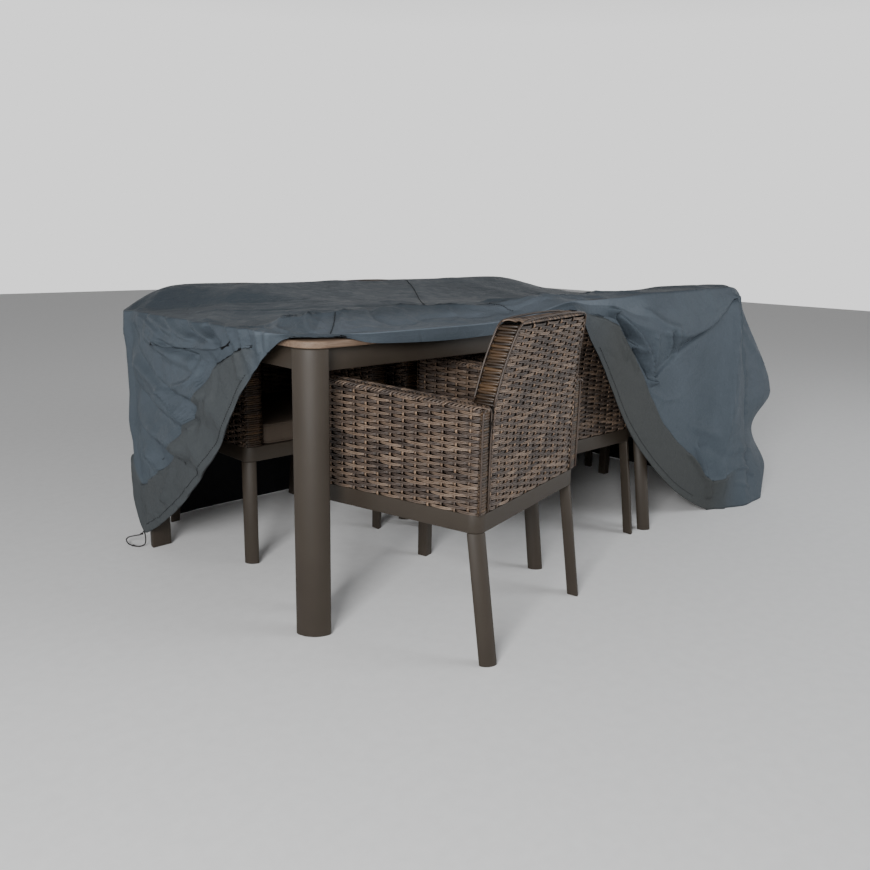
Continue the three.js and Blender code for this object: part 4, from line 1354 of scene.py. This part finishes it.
def back_panel(rear):
    """The rear or the front face of the back."""
    low = RAIL_TOP + (2 * MM if rear else CUSHION_THICK * 0.8)
    rows = int((806 * MM - low) / ROW)
    heights = low + (np.arange(rows) + 0.5) * ROW

    def span(z):
        half = back_at(z)[0] - 3 * MM
        if z < ARM_BACK:
            half = min(half, POST_INNER - 4 * MM if rear else SEAT_WIDTH / 2 - WALL)
        return -half, half

    def point_at(u, row):
        lean = back_at(heights[row])[1]
        return np.array([u, -SEAT_DEPTH / 2 - lean + (0 if rear else WALL), heights[row]])

    def tilt(row):
        z = heights[row]
        slope = (back_at(z + 10 * MM)[1] - back_at(z - 10 * MM)[1]) / (20 * MM)
        up = np.array([0.0, -slope, 1.0])
        return up / np.linalg.norm(up)

    def facing_at(row):
        up = tilt(row)
        out = np.array([0.0, -up[2], up[1]])
        return out if rear else -out

    return panel_places([span(z) for z in heights], tilt, facing_at, point_at)


# %% Edges and braids
def edge_wraps():
    """Level wraps over the narrow edges: the arms' ends and the back's sides. Every
    second wrap is a little shorter, so their ends make a zig-zag line."""
    wraps = []
    for side in (-1, 1):
        for end in (-1, 1):
            y = end * SEAT_DEPTH / 2
            inner = POST_INNER if end < 0 else SEAT_WIDTH / 2 - WALL
            for k, z in enumerate(np.arange(RAIL_TOP + 4 * MM, arm_top(y) - 5 * MM, WRAP_PITCH)):
                width = SEAT_WIDTH / 2 - inner + 3 * MM - (k % 2) * 5 * MM
                middle = (inner + SEAT_WIDTH / 2) / 2
                wraps.append(((side * middle, y, z), (1, 0, 0.03 * (-1) ** k), (0, end, 0), (width, 1, 2.0)))
        for k, z in enumerate(np.arange(ARM_BACK + 3 * MM, 800 * MM, WRAP_PITCH)):
            half, lean = back_at(z)
            y = -SEAT_DEPTH / 2 - lean + WALL / 2
            width = WALL - (k % 2) * 6 * MM
            wraps.append(((side * half, y, z), (0, 1, 0.05 * (-1) ** k), (side, 0, 0.22), (width, 1.3, 2.1)))
    return wraps


def top_wraps():
    """Wraps over the top of the back, slanted one way and the other in two lanes."""
    wraps = []
    height, half, lean = BACK_FORM[-1]
    for lane, sign in ((-0.25, 1), (0.25, -1)):
        y = -SEAT_DEPTH / 2 - lean + WALL * (0.5 + lane)
        for x in np.arange(-half, half + 1 * MM, 9.5 * MM):
            point = (x, y, height + 0.8 * MM)
            wraps.append((point, (0.55 * sign, 1, 0), (0, 0, 1), (34 * MM, 1.2, 1.9)))
    return wraps


def border_paths():
    """Routes of the thick border strands: round each arm's rear post and along both
    edges of the back's sides and top."""
    routes = []
    for side in (-1, 1):
        inner, outer = POST_INNER, SEAT_WIDTH / 2 - 2 * MM
        middle, radius = (inner + outer) / 2, (outer - inner) / 2
        spring = arm_top(-SEAT_DEPTH / 2) - radius - 2 * MM
        arc = [(middle - radius * np.cos(a), spring + radius * np.sin(a)) for a in np.linspace(0, np.pi, 9)]
        route = [(inner, RAIL_TOP + 3 * MM), *arc, (outer, RAIL_TOP + 3 * MM)]
        routes.append([(side * x, -SEAT_DEPTH / 2 - 0.5 * MM, z) for x, z in route])
    for depth in (1 * MM, WALL - 1 * MM):
        heights = [ARM_BACK + 4 * MM, *BACK_FORM[3:, 0]]
        up = [(back_at(z)[0] - 1 * MM, -SEAT_DEPTH / 2 - back_at(z)[1] + depth, z - 1 * MM) for z in heights]
        routes.append([(-x, y, z) for x, y, z in up] + up[::-1])
    return routes


def arm_braids():
    """Short slanted strands along the top of each arm, three rows of them, turned
    alternately one way and the other, as in a plait."""
    braids = []
    step = 11 * MM
    width = WALL / 3
    for side in (-1, 1):
        slope = np.array([0.0, SEAT_DEPTH, ARM_FRONT - ARM_BACK])
        slope /= np.linalg.norm(slope)
        up = np.array([0.0, -slope[2], slope[1]])
        for lane, sign in enumerate((-1, 1, -1)):
            x = side * (SEAT_WIDTH / 2 - width * (lane + 0.5))
            along = slope + sign * np.array([1.1, 0, 0])
            along /= np.linalg.norm(along)
            for y in np.arange(-SEAT_DEPTH / 2 + 4 * MM, SEAT_DEPTH / 2, step):
                point = np.array([x, y, arm_top(y) - 0.5 * MM])
                braids.append((point, along, up, (30 * MM, 1.5, 1.7)))
    return braids


# %% [markdown]
# ## Wicker colours
#
# The strands are synthetic, in mixed browns and greys. Each copy carries a random
# number from the node tree. The material turns it into a tone and adds a little noise,
# so that no strand is even. The level strands, the stakes and the wraps round the
# edges have their own tints of one range. With one fixed colour the weave would look
# moulded. The sheet behind them is painted near-black, painted shade for the gaps in the weave.


# %% Wicker colours
def wicker_material(name, tint):
    """Brown strands: each copy has its own random tone, broken up by a little noise."""
    recipe = Recipe(name, roughness=0.45, specular=0.45)
    tone = recipe.attribute("tone")
    streak = recipe.noise(recipe.place((1, 1, 1)), 45.0, detail=5.0, roughness=0.7)
    value = recipe.maths("ADD", recipe.maths("MULTIPLY", tone, 0.5), recipe.maths("MULTIPLY", streak, 0.5))
    stops = [
        (0.20, (0.036, 0.027, 0.022)), (0.36, (0.070, 0.055, 0.047)), (0.50, (0.105, 0.082, 0.066)),
        (0.64, (0.155, 0.115, 0.085)), (0.80, (0.235, 0.185, 0.145)),
    ]
    tinted = [(place, tuple(c * t for c, t in zip(rgb, tint))) for place, rgb in stops]
    colour = recipe.ramp(value, tinted)
    fibre = recipe.noise(recipe.place((1, 1, 1)), 420.0, detail=3.0)
    return recipe.done(colour=colour, normal=recipe.bump(fibre, 0.4, 0.0006))


def core_material():
    recipe = Recipe("painted_gap_shade", roughness=0.9, specular=0.1)
    spots = recipe.noise(recipe.place(), 140.0)
    # painted shade: near-black, for the dark gaps between the strands
    colour = recipe.ramp(spots, [(0.3, (0.005, 0.004, 0.0035)), (0.7, (0.014, 0.011, 0.009))])
    return recipe.done(colour=colour)


WICKER = wicker_material("wicker_strands", (0.76, 0.70, 0.66))
STAKES = wicker_material("wicker_stakes", (0.85, 0.72, 0.60))
WRAPS = wicker_material("wicker_wraps", (0.34, 0.245, 0.14))
GAP_SHADE = core_material()


# %% Weaving
def in_room(places, pose):
    """Places moved from the chair's own frame to where the chair stands."""
    turn = np.array(pose.to_3x3())
    shift = np.array(pose.translation)
    return [
        (turn @ np.asarray(p) + shift, turn @ np.asarray(a, float), turn @ np.asarray(f, float), s)
        for p, a, f, s in places
    ]


def make_core(name):
    """Painted shade that shows between the strands: a near-black sheet of the shell's form, drawn in a
    little.
    """
    painted_shade_sheet = rounded_copy(f"{name}_shell", f"{name}_core", 3 * MM, 2)
    form = bmesh.new()
    form.from_mesh(painted_shade_sheet.data)
    bmesh.ops.recalc_face_normals(form, faces=form.faces)
    for vert in form.verts:
        vert.co = vert.co - vert.normal * GAP_SHADE_DEPTH
    form.to_mesh(painted_shade_sheet.data)
    form.free()
    finish_piece(painted_shade_sheet, GAP_SHADE, [f"{name}_shell"])


def weave_chair(name, detail):
    pose = chair_pose(name)
    make_core(name)
    panels = {
        "arm_left_outer": arm_panel(-1, True), "arm_right_outer": arm_panel(1, True),
        "back_rear": back_panel(True), "back_front": back_panel(False),
        "arm_left_inner": arm_panel(-1, False), "arm_right_inner": arm_panel(1, False),
    }
    strands = STRANDS[detail]
    knuckles = []
    for part, (lenses, more) in panels.items():
        place_copies(f"{name}_{part}", in_room(lenses, pose), strands["lens"], WICKER)
        knuckles += more
    place_copies(f"{name}_stakes", in_room(knuckles, pose), strands["stake"], STAKES)
    place_copies(f"{name}_wraps", in_room(edge_wraps(), pose), strands["wrap"], WRAPS)
    braids = arm_braids() + top_wraps()
    place_copies(f"{name}_braids", in_room(braids, pose), strands["wrap"], WICKER)
    for number, route in enumerate(border_paths()):
        placed = [pose @ Vector(point) for point in route]
        points, faces = tube(smooth_route(placed, 6), 2.6 * MM, 6)
        finish_piece(make_object(f"{name}_border_{number}", points, faces), STAKES)


for chair_name in CHAIR_NAMES:
    weave_chair(chair_name, "full" if chair_name == "chair_pulled_out" else "light")

# %% [markdown]
# ## Hem stitches
#
# The hem is turned over once and sewn down 28 mm from its edge. The seam is a line of
# short stitches, each a copy of one small bent thread, laid along the cloth's outer
# face by walking up every column from the hem. Single stitches catch the light as
# thread does, which a painted line would not. Two more seams cross the top. With them
# the cover is complete: a flat cut of 2.8 by 3.8 m, its corners left out.

# %% Seam lines
HEM_WIDTH = 28 * MM
STITCH_RUNS = [(30.3, 35.4), (7.2, 13.2)]  # from rib to rib along the open front
STITCH = 5.5 * MM
TOP_SEAMS = [  # x, y from the table's near left corner
    [(1203, 988), (1076, 808), (860, 540), (710, 350), (699, 256), (720, 198), (745, 92), (756, 20)],
    [(214, 172), (143, 87), (87, 27)],
]


def seam_line(first, last):
    """Points on the outer face, HEM_WIDTH above the hem, and the cloth's facing there."""
    normals = grid_normals(sheet_grid)
    points, facing = [], []
    for k in np.flatnonzero((columns.t >= first) & (columns.t <= last)):
        column = sheet_grid[k, ::-1]
        walked = np.concatenate([[0], np.cumsum(np.linalg.norm(np.diff(column, axis=0), axis=1))])
        points.append([np.interp(HEM_WIDTH, walked, column[:, axis]) for axis in range(3)])
        facing.append([np.interp(HEM_WIDTH, walked, normals[k, ::-1, axis]) for axis in range(3)])
    return np.array(points), np.array(facing)


def stitch_places(points, facing):
    """Stitches in a row along a line of points, given the cloth's facing there."""
    walked = np.concatenate([[0], np.cumsum(np.linalg.norm(np.diff(points, axis=0), axis=1))])
    places = []
    for at in np.arange(STITCH, walked[-1] - STITCH, 1.5 * STITCH):
        here, ahead, out = (
            np.array([np.interp(s, walked, values[:, axis]) for axis in range(3)])
            for s, values in ((at, points), (at + 1 * MM, points), (at, facing))
        )
        places.append((here + out * 1.6 * MM + TABLE, ahead - here, out, (STITCH, 0.8, 0.55)))
    return places


def top_seam(path):
    """A seam across the top: its points are found by looking straight down on the cloth."""
    route = smooth_route(np.column_stack([np.array(path, float) * MM, np.zeros(len(path))]), 24)
    above = Vector(TABLE) + Vector((0, 0, 2))
    found = []
    for x, y, _ in route:
        hit, where, normal, _ = cover.ray_cast(Vector((x, y, 0)) + above, (0, 0, -1))
        if hit:
            found.append((np.array(where) - TABLE - np.array(normal) * 0.6 * MM, np.array(normal)))
    return stitch_places(*(np.array(part) for part in zip(*found)))


# %% Hem stitches
THREAD = Recipe("sewing_thread", roughness=0.7, specular=0.2)
thread_twist = THREAD.noise(THREAD.place(), 900.0)
thread_colour = THREAD.ramp(thread_twist, [(0.3, (0.010, 0.011, 0.012)), (0.7, (0.022, 0.024, 0.026))])
THREAD_MATERIAL = THREAD.done(colour=thread_colour, normal=THREAD.bump(thread_twist, 0.5, 0.0003))
stitch_copy = strand_object("hem_stitch", [bent_strand(1.0, 0.4 * MM, -1.2 * MM, 0, 1, 5, 4)])
stitches = [place for run in STITCH_RUNS for place in stitch_places(*seam_line(*run))]
for seam in TOP_SEAMS:
    stitches += top_seam(seam)
hem_stitches = place_copies("hem_stitches", stitches, stitch_copy, THREAD_MATERIAL)
print("stitches:", len(stitches))

# %% [markdown]
# ## Seat cushions
#
# A seat cushion is two panels of cloth and a boxed side with a corded seam round each
# panel. It is lofted from rounded outlines: the sides swell between the two seams and
# the top is crowned. A subdivided box would lose the crisp seams. The piping is a thin
# tube along each seam.


# %% Cushion cloth
def cushion_material():
    recipe = Recipe("cushion_cloth", roughness=0.9, specular=0.2)
    where = recipe.place()
    weave = recipe.noise(where, 700.0, detail=2.0)
    cloud = recipe.noise(where, 9.0, detail=4.0)
    threads = recipe.ramp(weave, [(0.3, (0.045, 0.033, 0.025)), (0.7, (0.085, 0.066, 0.050))])
    shade = recipe.ramp(cloud, [(0.3, (0.057, 0.043, 0.032)), (0.7, (0.070, 0.054, 0.041))])
    colour = recipe.mix(0.5, threads, shade)
    return recipe.done(colour=colour, normal=recipe.bump(weave, 0.5, 0.0006))


# %% Cushion shape
def rounded_outline(x, y0, y1, radius, corner_steps=6):
    """A rectangle from -x to x and y0 to y1 with round corners, its sides cut in short steps."""
    points = []
    for cx, cy, start in ((x, y0, -90), (x, y1, 0), (-x, y1, 90), (-x, y0, 180)):
        mx = cx - np.sign(cx) * radius
        my = cy + radius if cy == y0 else cy - radius
        for angle in np.radians(start + np.linspace(0, 90, corner_steps + 1)):
            points.append((mx + radius * np.cos(angle), my + radius * np.sin(angle)))
    dense = []
    for (ax, ay), (bx, by) in zip(points, points[1:] + points[:1]):
        steps = max(1, int(np.hypot(bx - ax, by - ay) / (18 * MM)))
        dense += [(ax + (bx - ax) * k / steps, ay + (by - ay) * k / steps) for k in range(steps)]
    return np.array(dense)


def cushion_rings(thick):
    """Share of the outline and height above the rail's top, for each ring of the loft."""
    rings = []
    # underside from the middle out, the swollen side, the crowned top back to the middle
    for share in np.linspace(0.06, 1, 8):
        rings.append((share, 3 * MM + 0.6 * MM * (1 - share)))
    for k in np.linspace(0.15, 0.85, 5):
        rings.append((1 + 0.016 * np.sin(np.pi * k), 3 * MM + thick * k))
    for share in np.linspace(1, 0.06, 12):
        rings.append((share, 3 * MM + thick + 8 * MM * (1 - share**4)))
    return rings


# %% Cushions
def make_cushion(name, cloth):
    pose = np.array(chair_pose(name))
    x = SEAT_WIDTH / 2 - WALL - 4 * MM
    y0, y1 = -SEAT_DEPTH / 2 + WALL + 4 * MM, SEAT_DEPTH / 2 - 6 * MM
    outline = rounded_outline(x - 3 * MM, y0 + 3 * MM, y1 - 3 * MM, 30 * MM)
    middle = np.array([0, (y0 + y1) / 2])
    thick = CUSHION_THICK - 12 * MM

    def ring_at(share, up):
        flat = middle + (outline - middle) * share
        return np.column_stack([flat, np.full(len(flat), RAIL_TOP + up)]) @ pose[:3, :3].T + pose[:3, 3]

    rings = cushion_rings(thick)
    points = np.concatenate([ring_at(share, up) for share, up in rings])
    cushion = make_object(f"{name}_seat_cushion", points, ring_faces(len(rings), len(outline)))
    finish_piece(cushion, cloth, [f"{name}_cushion"])
    for label, up in (("lower", 3.6 * MM), ("upper", 3 * MM + thick)):
        ring = ring_at(1, up)
        loop, loop_faces = tube(np.vstack([ring, ring[:2]]), 2.6 * MM, 6)
        piping = make_object(f"{name}_piping_{label}", loop, loop_faces)
        finish_piece(piping, cloth)


CUSHION = cushion_material()
for chair_name in CHAIR_NAMES:
    make_cushion(chair_name, CUSHION)
print("cushions:", len(CHAIR_NAMES))

# %% [markdown]
# ## Floor and light
#
# A pale plain floor and soft light from the side where the camera stands. The sky is
# brighter near the horizon than overhead, so the sides of the cover are lit more than
# its top. A key light stands low behind the camera, on its left, and a weaker one
# fills in from the right.

# %% Floor
FLOOR = 12.0  # half its width, in metres
corners = [(-FLOOR, -FLOOR, 0), (FLOOR, -FLOOR, 0), (FLOOR, FLOOR, 0), (-FLOOR, FLOOR, 0)]
floor = make_object("floor", corners, [(0, 1, 2, 3)], smooth=False)
paper = Recipe("floor_paper", roughness=0.8)
speckle = paper.noise(paper.place(), 30.0)
floor.data.materials.append(paper.done(colour=paper.ramp(speckle, [(0.3, 0.84), (0.7, 0.88)])))
print("floor:", 2 * FLOOR, "m wide")

# %% Light
world = bpy.data.worlds.new("studio")
bpy.context.scene.world = world
world.use_nodes = True
sky = world.node_tree
direction = sky.nodes.new("ShaderNodeTexCoord").outputs["Generated"]
parts = sky.nodes.new("ShaderNodeSeparateXYZ")
fade = sky.nodes.new("ShaderNodeMapRange")
fade.inputs["From Min"].default_value = 0.22
fade.inputs["From Max"].default_value = 0.50
fade.inputs["To Min"].default_value = 1.3
fade.inputs["To Max"].default_value = 0.12
sky.links.new(direction, parts.inputs["Vector"])
sky.links.new(parts.outputs["Z"], fade.inputs["Value"])
sky.links.new(fade.outputs["Result"], sky.nodes["Background"].inputs["Strength"])
sky.nodes["Background"].inputs["Color"].default_value = (1.0, 1.0, 1.0, 1)


def softbox(name, place, target, size, power, colour):
    """A rectangular area light at a place, turned towards a target."""
    lamp = bpy.data.lights.new(name, "AREA")
    lamp.shape = "RECTANGLE"
    lamp.size, lamp.size_y = size
    lamp.energy = power
    lamp.color = colour
    obj = bpy.data.objects.new(name, lamp)
    bpy.context.scene.collection.objects.link(obj)
    obj.location = place
    obj.rotation_mode = "QUATERNION"
    obj.rotation_quaternion = (Vector(target) - Vector(place)).to_track_quat("-Z", "Y")
    return obj


softbox("key", (-4.5, -2.7, 2.0), (0, 0, 0.4), (1.6, 1.4), 250, (1.0, 1.0, 1.0))
softbox("fill", (2.4, -4.2, 2.1), (0.5, 0, 0.5), (2.4, 1.8), 110, (0.94, 0.97, 1.0))
print("lights:", len(bpy.data.lights))
